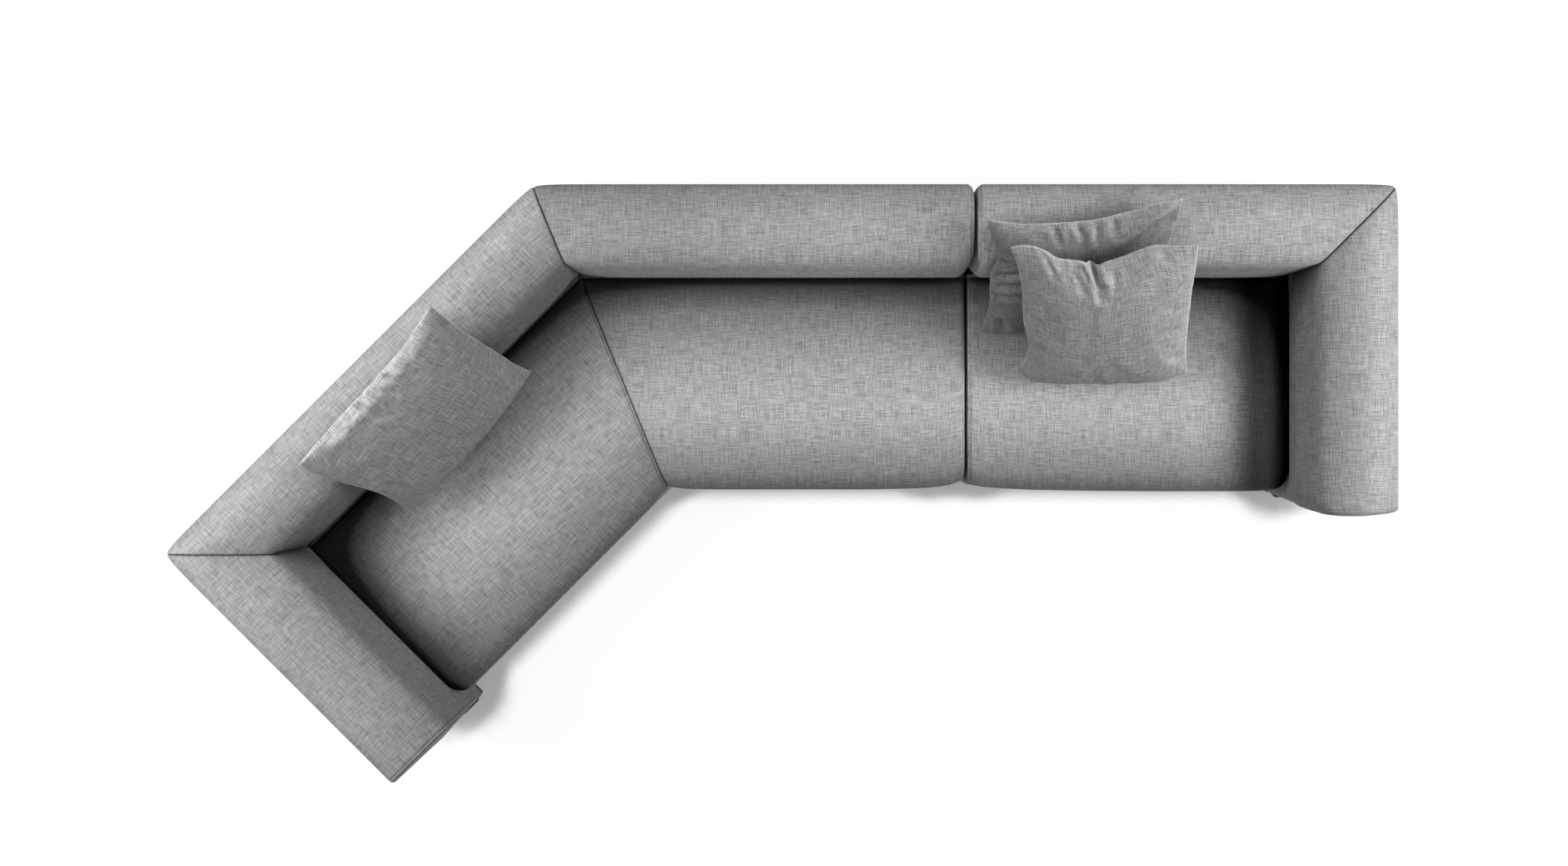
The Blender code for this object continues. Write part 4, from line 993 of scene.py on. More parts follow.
# Outlines measured from the photograph in metres: place along the edge, shift along the run, shift to the seat
outlines = {
    "wing": {
        "top": ((-1, -0.008, 0.002), (-0.6, 0, 0), (-0.27, 0, 0.003), (0.1, 0, 0.006), (0.48, 0, 0.008), (0.74, 0, 0),
                (1, 0, -0.012)),
        "bottom": ((-1, 0.005, 0.006), (-0.61, 0, 0.007), (-0.14, 0, 0.015), (0.36, 0, 0.015), (0.72, 0, 0.003),
                   (1, -0.006, -0.004)),
        "left": ((-1, 0.005, 0.006), (-0.59, 0.027, 0), (-0.18, 0.032, 0), (0.15, 0.021, 0), (0.41, 0.009, 0),
                 (1, -0.008, 0.002)),
        "right": ((-1, -0.006, -0.004), (-0.83, -0.009, 0), (-0.53, -0.009, 0), (-0.12, -0.004, 0), (0.16, -0.004, 0),
                  (0.58, -0.008, 0), (1, 0, -0.012)),
    },
    "rear": {
        "top": ((-1, -0.002, -0.009), (-0.64, 0, 0.017), (-0.28, 0, 0.026), (0.17, 0, 0.029), (0.55, 0, 0.013),
                (0.86, 0, 0), (1, 0.013, -0.010)),
        "bottom": ((-1, 0.006, 0.005), (-0.75, 0, 0.016), (-0.48, 0, 0.014), (0.6, 0, 0.012), (1, 0, 0)),
        "left": ((-1, 0.006, 0.005), (-0.82, 0.019, 0), (-0.53, 0.028, 0), (0.12, 0.020, 0), (0.22, 0.030, 0),
                 (0.33, 0.042, 0), (0.45, 0.033, 0), (0.64, 0.028, 0), (1, -0.002, -0.009)),
        "right": ((-1, 0, 0), (0.0, -0.030, 0), (0.33, -0.025, 0), (0.57, -0.011, 0), (1, 0.013, -0.010)),
    },
    "front": {
        "top": ((-1, 0.003, 0), (-0.85, 0, -0.006), (-0.72, 0, -0.003), (-0.58, 0, 0.013), (-0.47, 0, 0.032),
                (-0.29, 0, 0.039), (-0.16, 0, 0.041), (-0.07, 0, 0.056), (0.03, 0, 0.044), (0.13, 0, 0.039),
                (0.34, 0, 0.016), (0.57, 0, -0.006), (0.81, 0, -0.003), (1, 0.015, -0.005)),
        "bottom": ((-1, 0.003, -0.004), (-0.93, 0, 0.014), (-0.8, 0, 0.033), (-0.55, 0, 0.038), (-0.3, 0, 0.040),
                   (0.2, 0, 0.038), (0.68, 0, 0.033), (0.89, 0, 0.020), (1, 0.013, 0.002)),
        "left": ((-1, 0.003, -0.004), (-0.78, 0.029, 0), (-0.54, 0.047, 0), (-0.34, 0.038, 0), (-0.09, 0.031, 0),
                 (0.45, 0.032, 0), (0.75, 0.023, 0), (1, 0.003, 0)),
        "right": ((-1, 0.013, 0.002), (-0.78, 0, 0), (-0.51, -0.004, 0), (-0.23, -0.005, 0), (0.09, -0.002, 0),
                  (0.33, -0.001, 0), (0.58, 0.006, 0), (1, 0.015, -0.005)),
    },
}
# Folds as ((a, b) start, (a, b) end, half width, depth): a across, b from foot to head, depth in metres
folds = {
    "wing": (((0.20, 0.92), (0.20, 0.72), 0.040, 0.011), ((-0.04, 0.92), (-0.05, 0.70), 0.034, 0.010),
             ((-0.17, 0.92), (-0.21, 0.70), 0.034, 0.010), ((0.06, 0.86), (0.23, 0.58), 0.038, 0.006),
             ((-0.16, 0.66), (0.0, 0.50), 0.050, 0.004), ((-0.62, 0.80), (0.80, 0.86), 0.070, -0.005),
             ((0.88, -0.68), (0.98, -0.98), 0.055, 0.012), ((-0.82, -0.15), (-0.74, -0.52), 0.060, 0.006),
             ((-0.45, 0.95), (-0.48, 0.80), 0.035, 0.005), ((0.55, 0.98), (0.50, 0.80), 0.035, 0.005)),
    "rear": (((-0.92, 0.36), (-0.66, 0.24), 0.040, 0.012), ((-0.90, 0.14), (-0.60, 0.25), 0.034, 0.010),
             ((-0.90, -0.06), (-0.58, 0.07), 0.032, 0.010), ((-0.96, -0.24), (-0.55, -0.14), 0.042, 0.010),
             ((-0.83, -0.68), (-0.74, -0.94), 0.052, 0.012), ((0.98, 0.98), (0.40, 0.60), 0.075, -0.012),
             ((-0.30, 0.95), (-0.28, 0.70), 0.034, 0.007), ((-0.06, 0.96), (-0.02, 0.74), 0.034, 0.006),
             ((0.15, 0.96), (0.13, 0.68), 0.034, 0.007), ((0.32, 0.92), (0.34, 0.66), 0.032, 0.005)),
    "front": (((-0.09, 1.02), (-0.04, 0.54), 0.036, 0.026), ((-0.20, 0.90), (-0.04, 0.46), 0.032, 0.007),
              ((0.01, 0.74), (0.03, 0.45), 0.030, 0.008), ((-0.29, 0.80), (-0.24, 0.56), 0.034, 0.006),
              ((0.13, 0.84), (0.07, 0.50), 0.034, 0.006), ((-0.63, 0.98), (-0.57, 0.70), 0.040, 0.008),
              ((0.62, 0.99), (0.71, 0.84), 0.050, 0.006), ((-0.88, -0.40), (0.94, -0.42), 0.022, 0.0016),
              ((-0.98, -0.46), (-0.72, -0.38), 0.060, 0.010), ((0.93, -0.60), (0.80, -0.52), 0.060, 0.005)),
}


outlineForm = {
    "samples": 401,
    "reach": 24,  # samples that the smoothing takes in on either side
    "spread": 10.0,
    "fade": 1.5,  # how an edge's shift dies away across the cushion
    "sink": 0.45,  # how far the top edge sinks for each metre that it moves towards the seat
}
foldForm = {
    "reach": 4,  # half widths
    "tailFade": 0.75,  # share of its depth that a fold loses towards its end
    "rimFade": 0.14,  # it dies away this close to the rim
    "crossing": 0.02,  # unless it is at least this deep, and crosses it
    "ridge": 0.35,  # soft ridges stand on both sides
    "ridgePlace": 1.9,
}
laying = {
    "slopeStep": 0.01,
    "backFold": 0.25,  # share of the folds that the underside shows
    "restGap": 0.0012,
    "weaveShift": 1.0,
    "rimOrder": 6,
    "pucker": 0.75,  # share of the blown-up rim's small puckers that stays
    "skyWay": (0.0003, 0.0002, 1),  # a little off upright, so that it meets no edge
    "skinStep": 1e-4,
    "maxSkins": 12,
}


def smoothTable(table):
    # The measured points as a smooth dense curve; returns a lookup
    reach = outlineForm["reach"]
    x = np.linspace(-1, 1, outlineForm["samples"])
    marks = [row[0] for row in table]
    kernel = np.exp(-(np.arange(-reach, reach + 1) / outlineForm["spread"]) ** 2)
    kernel /= kernel.sum()
    columns = []
    for column in (1, 2):
        line = np.interp(x, marks, [row[column] for row in table])
        longer = np.concatenate([2 * line[0] - line[reach:0:-1], line, 2 * line[-1] - line[-2:-2 - reach:-1]])
        columns.append(np.convolve(longer, kernel, "valid"))
    return lambda t: Vector((float(np.interp(t, x, columns[0])), float(np.interp(t, x, columns[1])), 0))


def outlineShift(key):
    edges = {edge: smoothTable(table) for edge, table in outlines[key].items()}
    corner = {(a, b): (edges["left" if a < 0 else "right"](b) + edges["bottom" if b < 0 else "top"](a)) / 2
              for a in (-1, 1) for b in (-1, 1)}

    def weight(t, end):
        return (max(0.0, 1 + t * end) / 2) ** outlineForm["fade"]

    def at(a, b):
        shift = Vector((0, 0, 0))
        for edge, t, other, end in (("left", a, b, -1), ("right", a, b, 1), ("bottom", b, a, -1), ("top", b, a, 1)):
            shift += edges[edge](other) * weight(t, end)
        for (ca, cb), value in corner.items():
            shift -= value * weight(a, ca) * weight(b, cb)
        shift.z -= outlineForm["sink"] * max(0.0, edges["top"](a).y) * weight(b, 1)
        return shift
    return at


def insideOf(tree, point):
    # Odd number of skins above the point
    way, start, count = Vector(laying["skyWay"]).normalized(), point.copy(), 0
    while count < laying["maxSkins"]:
        hit = tree.ray_cast(start, way)[0]
        if hit is None:
            break
        count += 1
        start = hit + Vector((0, 0, laying["skinStep"]))
    return count % 2 == 1


def foldLift(a, b, lines):
    lift = 0.0
    for (a0, b0), (a1, b1), width, depth in lines:
        wayA, wayB = a1 - a0, b1 - b0
        t = clampShare(((a - a0) * wayA + (b - b0) * wayB) / (wayA ** 2 + wayB ** 2))
        off = math.hypot(a - a0 - wayA * t, b - b0 - wayB * t) / width
        if off > foldForm["reach"]:
            continue
        fade = 1 - foldForm["tailFade"] * t ** 2
        if depth < foldForm["crossing"]:
            fade *= clampShare((1 - max(abs(a), abs(b))) / foldForm["rimFade"])
        ridge = foldForm["ridge"] * math.exp(-(off - foldForm["ridgePlace"]) ** 2)
        lift += depth * (ridge - math.exp(-off ** 2)) * fade
    return lift


def rimReach(flat, points, size):
    # How far the blown-up rim reaches at each height and width, smoothed so that only its small puckers stay
    def profile(axis, side):
        other = 1 - axis
        rim = [k for k in range(len(flat)) if abs(flat[k][axis] - side * size[axis]) < 1e-6]
        rim.sort(key=lambda k: flat[k][other])
        marks = np.array([flat[k][other] / size[other] for k in rim])
        reach = np.array([abs(points[k][axis]) for k in rim])
        smooth = np.polyval(np.polyfit(marks, reach, laying["rimOrder"]), marks)
        return marks, smooth + laying["pucker"] * (reach - smooth)
    tables = {(axis, side): profile(axis, side) for axis in (0, 1) for side in (-1, 1)}
    return lambda axis, t, place: float(np.interp(t, *tables[(axis, 1 if place >= 0 else -1)]))


def roundedPillow(name, mesh):
    # One subdivision rounds the cloth
    holder = bpy.data.objects.new(name + "Raw", mesh)
    bpy.context.scene.collection.objects.link(holder)
    smooth = holder.modifiers.new("smooth", "SUBSURF")
    smooth.levels = smooth.render_levels = 1
    smooth.uv_smooth = "NONE"
    made = bpy.data.meshes.new_from_object(holder.evaluated_get(bpy.context.evaluated_depsgraph_get()))
    made.name = name
    bpy.data.objects.remove(holder)
    bpy.data.meshes.remove(mesh)
    made.shade_smooth()
    return made


def layCushion(name, key):
    item, node = cushions[key], key + "_scatter_cushion"
    run, (flat, points, faces) = runs[item["run"]], shapes[key]
    surface, shiftAt = cushionSurface(item), outlineShift(key)
    size = (item["size"][0] / 2, item["size"][1] / 2)
    half, rim, step = halfThickness(points), rimReach(flat, points, size), laying["slopeStep"]
    placed = []
    for (flatX, flatY, flatZ), (x, y, h) in zip(flat, points):
        a = max(-1.0, min(1.0, x / rim(0, flatY / size[1], x)))
        b = max(-1.0, min(1.0, y / rim(1, flatX / size[0], y)))
        across = surface(a + step, b) - surface(a - step, b)
        up = surface(a, b + step) - surface(a, b - step)
        normal = up.cross(across).normalized()
        if normal.z < 0:
            normal.negate()
        lift = h / half * item["half"]
        lift += foldLift(a, b, folds[key]) * (item["foldGain"] if h >= 0 else laying["backFold"])
        at = surface(a, b) + shiftAt(a, b) + normal * lift
        placed.append(runPoint(run, at.x, at.y, at.z))
    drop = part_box(node)[1][2] - max(point.z for point in placed)
    mesh = bpy.data.meshes.new(name)
    mesh.from_pydata([point + Vector((0, 0, drop)) for point in placed], [], faces)
    layer = mesh.uv_layers.new(name="weave")
    for loop in mesh.loops:
        layer.data[loop.index].uv = [place + laying["weaveShift"] for place in flat[loop.vertex_index][:2]]
    mesh = roundedPillow(name, mesh)
    trees = [boundTree(bpy.data.objects[other]) for other in item["supports"]]
    rests = 0
    for vertex in mesh.vertices:
        for tree in trees:
            if insideOf(tree, vertex.co):
                near, normal = tree.find_nearest(vertex.co)[:2]
                vertex.co = near + normal * laying["restGap"]
                rests += 1
    print(name, "drop", round(drop, 4), "points at rest", rests, "of", len(mesh.vertices))
    return placeObject(name, mesh, cushionLinen, key + "_cushion", (node,))


pillows = {key: layCushion(key + "ScatterCushion", key) for key in ("wing", "rear", "front")}
print("cushions laid")

# Stitches, screws and staples: one shape repeated by Geometry Nodes, then turned into a plain mesh

sewing = {
    "stitch": {"Pitch": 0.0055, "Length": 0.0042, "Thickness": 0.0009, "Jitter": 0.00015},
    "screw": {"Pitch": 0.0, "Length": 0.0085, "Thickness": 0.0024, "Jitter": 0.0},
    "staple": {"Pitch": 0.045, "Length": 0.0105, "Thickness": 0.0012, "Jitter": 0.0006},
    "seed": 7,
    "screwSides": 20,
    "screwInset": 0.011,  # from the edge of a leg's plate
    "screwDrop": 0.0008,
    "plateSize": 0.090,
    "plateThickness": 0.003,
    "plateTurns": {"leg_left_arm_front": 45, "leg_left_corner": 45, "leg_bend_front": 22.5, "leg_bend_rear": 22.5},
    "stapleInset": 0.0168,  # from a dust cover's corners towards its middle
}


def repeaterTree(name, kind):
    # kind "path" spaces the shape along edges, kind "points" puts one on every vertex
    tree = bpy.data.node_groups.new(name, "GeometryNodeTree")
    tree.is_modifier = True
    tree.interface.new_socket(name="Geometry", in_out="OUTPUT", socket_type="NodeSocketGeometry")
    tree.interface.new_socket(name="Geometry", in_out="INPUT", socket_type="NodeSocketGeometry")
    for label in ("Pitch", "Length", "Thickness", "Jitter"):
        tree.interface.new_socket(name=label, in_out="INPUT", socket_type="NodeSocketFloat")
    tree.interface.new_socket(name="Seed", in_out="INPUT", socket_type="NodeSocketInt")
    tree.interface.new_socket(name="Finish", in_out="INPUT", socket_type="NodeSocketMaterial")
    given = addNode(tree, "NodeGroupInput").outputs
    if kind == "path":
        curve = addNode(tree, "GeometryNodeMeshToCurve", links={"Mesh": given["Geometry"]})
        spaced = addNode(tree, "GeometryNodeResampleCurve", {"mode": "LENGTH"},
                         {"Curve": curve.outputs[0], "Length": given["Pitch"]}).outputs[0]
        along = addNode(tree, "GeometryNodeInputTangent").outputs[0]
        turned = addNode(tree, "FunctionNodeAlignRotationToVector", {"axis": "X"}, {"Vector": along}).outputs[0]
        size = addNode(tree, "ShaderNodeCombineXYZ", links={"X": given["Length"], "Y": given["Thickness"],
                                                            "Z": given["Thickness"]}).outputs[0]
        ball = addNode(tree, "GeometryNodeMeshUVSphere", {"Segments": 6, "Rings": 5, "Radius": 0.5}).outputs["Mesh"]
        shape = addNode(tree, "GeometryNodeTransform", links={"Geometry": ball, "Scale": size}).outputs[0]
        placed = addNode(tree, "GeometryNodeInstanceOnPoints",
                         links={"Points": spaced, "Instance": shape, "Rotation": turned}).outputs[0]
    else:
        size = addNode(tree, "ShaderNodeMath", {"operation": "MULTIPLY", 1: 0.5}, {0: given["Length"]}).outputs[0]
        shape = addNode(tree, "GeometryNodeMeshCylinder", {"Vertices": sewing["screwSides"]},
                        {"Radius": size, "Depth": given["Thickness"]}).outputs["Mesh"]
        placed = addNode(tree, "GeometryNodeInstanceOnPoints",
                         links={"Points": given["Geometry"], "Instance": shape}).outputs[0]
    lowest = addNode(tree, "ShaderNodeMath", {"operation": "MULTIPLY", 1: -1.0}, {0: given["Jitter"]}).outputs[0]
    ends = [addNode(tree, "ShaderNodeCombineXYZ", links={axis: side for axis in "XYZ"}).outputs[0]
            for side in (lowest, given["Jitter"])]
    shift = addNode(tree, "FunctionNodeRandomValue", {"data_type": "FLOAT_VECTOR"}, {"Seed": given["Seed"]})
    tree.links.new(ends[0], shift.inputs[0])
    tree.links.new(ends[1], shift.inputs[1])
    moved = addNode(tree, "GeometryNodeTranslateInstances",
                    links={"Instances": placed, "Translation": shift.outputs[0]}).outputs[0]
    solid = addNode(tree, "GeometryNodeRealizeInstances", links={"Geometry": moved}).outputs[0]
    done = addNode(tree, "GeometryNodeSetMaterial", links={"Geometry": solid, "Material": given["Finish"]}).outputs[0]
    addNode(tree, "NodeGroupOutput", links={"Geometry": done})
    return tree


pathRepeater, pointRepeater = repeaterTree("repeatAlongPath", "path"), repeaterTree("repeatOnPoints", "points")


def repeatShape(name, tree, lines, kind, finish, body):
    verts, edges = [], []
    for line in lines:
        first = len(verts)
        verts += [tuple(point) for point in line]
        if tree is pathRepeater:
            edges += [(first + k, first + k + 1) for k in range(len(line) - 1)]
    mesh = bpy.data.meshes.new(name + "Guide")
    mesh.from_pydata(verts, edges, [])
    guide = bpy.data.objects.new(name + "Guide", mesh)
    repeater = guide.modifiers.new("repeat", "NODES")
    repeater.node_group = tree
    wanted = dict(sewing[kind], Seed=sewing["seed"], Finish=finish)
    for socket in tree.interface.items_tree:
        if socket.in_out == "INPUT" and socket.name in wanted:
            repeater[socket.identifier] = wanted[socket.name]
    bpy.context.scene.collection.objects.link(guide)
    made = bpy.data.meshes.new_from_object(guide.evaluated_get(bpy.context.evaluated_depsgraph_get()))
    guide.modifiers.clear()
    bpy.data.objects.remove(guide)
    bpy.data.meshes.remove(mesh)
    made.name = name
    made.shade_smooth()
    print(name, "triangles", sum(len(f.vertices) - 2 for f in made.polygons))
    return placeObject(name, made, finish, body)


def hullPath(node, inset):
    # Outline of a flat piece seen from below, its corners drawn in by inset; the loop ends where it starts
    corners = [node.matrix_world @ vertex.co for vertex in node.data.vertices]
    flat = sorted({(round(p.x, 5), round(p.y, 5)) for p in corners})

    def half(points):
        kept = []
        for p in points:
            while len(kept) > 1 and ((kept[-1][0] - kept[-2][0]) * (p[1] - kept[-2][1])
                                     - (kept[-1][1] - kept[-2][1]) * (p[0] - kept[-2][0])) <= 1e-9:
                kept.pop()
            kept.append(p)
        return kept[:-1]
    hull = [Vector(p) for p in half(flat) + half(flat[::-1])]
    centre = sum(hull, Vector((0, 0))) / len(hull)
    low = min(p.z for p in corners)
    ring = [p + (centre - p).normalized() * inset for p in hull]
    return [Vector((*p, low)) for p in ring + ring[:1]]


def screwPoints(name):
    # Four screws hold each leg's plate from below
    low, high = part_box(name)
    centre = Vector(((low[0] + high[0]) / 2, (low[1] + high[1]) / 2))
    out = (sewing["plateSize"] / 2 - sewing["screwInset"]) * math.sqrt(2)
    z = high[2] - sewing["plateThickness"] - sewing["screwDrop"]
    turns = [math.radians(sewing["plateTurns"].get(name, 0) + 45 + 90 * k) for k in range(4)]
    return [Vector((*(centre + headingVector(turn) * out), z)) for turn in turns]


for side, sewn, dusty in (("left", ("leftArmCover", "wingSeatPad"), ("wing_dust_cover", "middle_dust_cover")),
                          ("right", ("rightArmCover",), ("right_dust_cover",))):
    body = side + "_module"
    repeatShape(side + "Stitches", pathRepeater, [sewnRings[name] for name in sewn], "stitch", thread, body)
    legs = [name for name in frame["nodes"] if name.startswith("leg_") and ("right" in name) == (side == "right")]
    repeatShape(side + "LegScrews", pointRepeater, [screwPoints(name) for name in legs], "screw", zincSteel, body)
    repeatShape(side + "Staples", pathRepeater,
                [hullPath(frame["nodes"][name], sewing["stapleInset"]) for name in dusty], "staple", zincSteel, body)
print("sewing done")

# Painted shade and light: a tone painted into the cloth's colour, darker deep in the corner between seat and back
# where shade falls, 1 where it lies open
paintedShade = {
    "wallTop": 0.69,
    "lineDepth": 0.75,  # painted shade: the dark line where a seat meets its back
    "linePlace": 0.268,
    "lineWidth": 0.013,
    # open share of the sky, and the painted shade tone that it leaves
    "share": (0.50, 0.52, 0.53, 0.54, 0.55, 0.56, 0.58, 0.60, 0.625, 0.65, 0.67, 0.70, 0.77, 0.82, 0.86, 0.90, 0.94),
    "tone": (0.03, 0.05, 0.08, 0.108, 0.125, 0.155, 0.192, 0.215, 0.275, 0.33, 0.37, 0.52, 0.62, 0.76, 0.86, 0.94, 1),
    "tilt": (0, 5, 9, 17, 25, 39, 60, 80, 90),  # degrees that the cloth slopes to the front or the rear
    # the painted shade tone for each tilt: cloth that slopes is painted darker
    "tiltShade": (1.0, 0.95, 0.91, 0.85, 0.80, 0.75, 0.74, 0.80, 0.88),
    # painted light and shade on a seat: metres from its front edge, and the painted tone there
    "fall": {
        "wing": ((0, 0.35), (0.04, 0.41), (0.09, 0.505), (0.17, 0.67), (0.27, 0.98), (0.37, 1.12), (0.47, 1.0)),
        "straight": ((0, 0.40), (0.03, 0.45), (0.07, 0.55), (0.11, 0.67), (0.17, 0.87), (0.23, 1.03), (0.28, 1.11),
                     (0.37, 1.07), (0.47, 0.98)),
    },
    # painted light and shade on the tops of backs and arms: metres from the outer face, then metres along the run
    "across": {
        "leftArm": ((0.03, 1.09), (0.07, 0.955), (0.11, 0.90), (0.15, 0.83), (0.19, 0.79), (0.23, 0.81),
                    (0.27, 0.70)),
        "wing": ((0.03, 1.51), (0.07, 1.37), (0.11, 1.09), (0.15, 0.87), (0.19, 0.75), (0.23, 0.64), (0.27, 0.45)),
        "middle": ((0.03, 0.98), (0.07, 0.91), (0.11, 0.97), (0.15, 1.02), (0.19, 1.0), (0.23, 1.02)),
        "right": ((0.03, 1.09), (0.07, 1.0), (0.11, 1.09), (0.15, 1.09), (0.19, 1.07), (0.23, 1.16)),
        "rightArm": ((0.03, 1.09), (0.07, 1.14), (0.11, 0.98), (0.15, 0.79), (0.19, 0.66), (0.23, 0.61),
                     (0.27, 0.54)),
    },
    # painted shadow of an arm on the seat beside it: metres from the arm's inner face
    "besideArm": {
        "right": ((0, 0.2), (0.005, 0.14), (0.026, 0.13), (0.047, 0.25), (0.068, 0.48), (0.09, 0.42), (0.11, 0.32),
                  (0.131, 0.29), (0.152, 0.51), (0.173, 0.66), (0.194, 0.93), (0.215, 1.0), (0.25, 1.12), (0.4, 1.0)),
    },
    # painted light and shade along each run: metres along it, and the tone there
    "along": {
        "leftArm": ((0.06, 0.83), (0.2, 0.97), (0.4, 1.0), (0.6, 1.045), (0.75, 1.14)),
        "wing": ((0.1, 0.93), (0.4, 1.0), (0.55, 1.07), (0.8, 1.14), (1.05, 1.12), (1.3, 1.0)),
        "middle": ((0.15, 0.955), (0.4, 0.91), (0.7, 1.02), (1.0, 1.115), (1.3, 0.955)),
        "rightArm": ((0, 1.0), (0.8, 1.0), (1.0, 0.95)),
    },
    # overall painted shade on the backs and arms, and on the front borders
    "backs": 0.86,
    "borders": 0.8,
    "ownCloth": (0.002, 0.045, 0.25),  # a wall's own cloth: this close to it, or closer than this and facing it
    "skyWays": 26,
    "skyLow": 0.12,
    "skySpan": 0.86,
    "contactReach": 0.11,  # how far a cushion's painted shadow reaches on the cloth beside it
    "contactDepth": 0.6,
    "contactLift": 0.003,
    "rimFrom": 0.965,  # a painted highlight makes a cushion's sewn rim paler from here
    "rimOver": 0.02,
    "rimGain": 0.3,
}
walls = []
for run in runs.values():
    v = back["thickness"]
    walls.append((np.array(runPoint(run, v * run["slopes"][0], v, 0))[:2],
                  np.array(runPoint(run, run["length"] - v * run["slopes"][1], v, 0))[:2]))


def openShare(points, normals):
    # Share of the sky that each point keeps beside the backs and arms; a wall doesn't shade its own cloth
    blocked = np.zeros(len(points))
    for start, stop in walls:
        way = (stop - start) / np.linalg.norm(stop - start)
        toStart, toStop = start - points[:, :2], stop - points[:, :2]
        inward = np.array([way[1], -way[0]])
        distance = -(toStart @ inward)
        height = np.maximum(paintedShade["wallTop"] - points[:, 2], 0)
        spread = np.abs(np.arctan2(toStop @ way, np.maximum(distance, 1e-4))
                        - np.arctan2(toStart @ way, np.maximum(distance, 1e-4))) / math.pi
        part = (1 - distance / np.sqrt(distance ** 2 + height ** 2 + 1e-9)) / 2
        facing = 1 - normals[:, :2] @ inward
        touching, reach, turned = paintedShade["ownCloth"]
        own = (distance < touching) | ((distance < reach) & (normals[:, :2] @ inward > turned))
        blocked += np.where(own, 0, spread * part * np.clip(facing, 0, 2) * (height > 0))
    return np.clip(1 - blocked, 0.0, 1.0)


def fromTable(values, table):
    return np.interp(values, *zip(*table)) if table else 1.0


def paintedShadeTones(obj, level):
    # painted shade from the open sky, times the painted shade for the cloth's tilt
    points, normals = pointsOf(obj), normalsOf(obj)
    sky = np.interp(openShare(points, normals), paintedShade["share"], paintedShade["tone"])
    tilt = np.degrees(np.arctan2(np.abs(normals[:, 1]), normals[:, 2]))
    return points, level * sky * np.interp(tilt, paintedShade["tilt"], paintedShade["tiltShade"])


def skyDirections():
    # Spread evenly over the sky on a spiral
    ways = []
    for k in range(paintedShade["skyWays"]):
        height = paintedShade["skyLow"] + paintedShade["skySpan"] * (k + 0.5) / paintedShade["skyWays"]
        turn, flat = k * math.pi * (3 - math.sqrt(5)), math.sqrt(1 - height * height)
        ways.append(Vector((flat * math.cos(turn), flat * math.sin(turn), height)))
    return ways


def contactShade(obj, others):
    # Painted shadow where a cushion stands close: darker by the share of the sky that it takes away near by
    reach, ways = paintedShade["contactReach"], skyDirections()
    trees = [(boundTree(other), pointsOf(other).min(axis=0) - reach, pointsOf(other).max(axis=0) + reach)
             for other in others]
    shade = np.ones(len(obj.data.vertices))
    for index, vertex in enumerate(obj.data.vertices):
        at, normal = np.array(vertex.co), vertex.normal
        near = [tree for tree, low, high in trees if (at > low).all() and (at < high).all()]
        if near and normal.z >= 0.05:
            start = vertex.co + normal * paintedShade["contactLift"]
            blocked = sum(1 for way in ways if way.dot(normal) > 0.05
                          and any(tree.ray_cast(start, way, reach)[0] is not None for tree in near))
            shade[index] = 1 - paintedShade["contactDepth"] * blocked / len(ways)
    return shade


def rimShare(obj, size):
    # Where a cushion gets its painted highlight: 1 on its sewn rim, 0 a seam's width inside it
    marks = np.empty(len(obj.data.loops) * 2, dtype=np.float32)
    obj.data.uv_layers["weave"].data.foreach_get("uv", marks)
    corners = np.empty(len(obj.data.loops), dtype=np.int32)
    obj.data.loops.foreach_get("vertex_index", corners)
    flat = np.zeros((len(obj.data.vertices), 2))
    flat[corners] = marks.reshape(-1, 2) - laying["weaveShift"]
    out = (np.abs(flat) / (np.array(size) / 2)).max(axis=1)
    return np.clip((out - paintedShade["rimFrom"]) / paintedShade["rimOver"], 0, 1)


# which cushions paint their shadow on which cloth
shadedBy = {covers["wing"]: [pillows["wing"]], seats["wing"]: [pillows["wing"]],
            covers["right"]: [pillows["rear"], pillows["front"]], seats["right"]: [pillows["rear"], pillows["front"]],
            pillows["rear"]: [pillows["front"]]}


def setPaintedShade(obj, tones):
    # paints the tones into the colour, with the painted shadow of nearby cushions and the painted shade of the seams
    if obj in shadedBy:
        tones = tones * contactShade(obj, shadedBy[obj])
    sewn = obj.data.attributes.get("seamShade")
    if sewn:
        shade = np.empty(len(obj.data.vertices), dtype=np.float32)
        sewn.data.foreach_get("value", shade)
        tones = tones * shade
        obj.data.attributes.remove(sewn)
    made = obj.data.attributes.new("paintedShade", "FLOAT", "POINT")
    made.data.foreach_set("value", np.asarray(tones, dtype=np.float32))


def runPlaces(points, run):
    # How far along its run and how far in from the outer face each point lies
    flat = points[:, :2] - np.array(run["start"])
    return flat @ np.array(run["along"]), flat @ np.array(run["inward"])


for key, obj in covers.items():
    points, tones = paintedShadeTones(obj, paintedShade["backs"])
    along, across = runPlaces(points, runs[key])
    setPaintedShade(obj, tones * fromTable(across, paintedShade["across"][key]) * fromTable(along, paintedShade["along"].get(key)))
for key, obj in seats.items():
    points, tones = paintedShadeTones(obj, 1.0)
    along, across = runPlaces(points, runs[key])
    tones *= fromTable(pad["front"] - across, paintedShade["fall"]["wing" if key == "wing" else "straight"])
    tones *= 1 - paintedShade["lineDepth"] * np.exp(-((across - paintedShade["linePlace"]) / paintedShade["lineWidth"]) ** 2)
    setPaintedShade(obj, tones * fromTable(runs[key]["length"] - armSide - along, paintedShade["besideArm"].get(key)))
for key, obj in pillows.items():
    item = cushions[key]
    # painted light and shade: faces turned to lightFrom are painted paler, the others darker
    facing = normalsOf(obj) @ np.array(item["lightFrom"])
    tones = item["level"] * np.exp(item["lightGain"] * np.clip(facing, *item["lightRange"]))
    setPaintedShade(obj, tones * (1 + paintedShade["rimGain"] * rimShare(obj, item["size"])))
for obj in borders:
    setPaintedShade(obj, np.full(len(obj.data.vertices), paintedShade["borders"]))

# Floor, light and camera

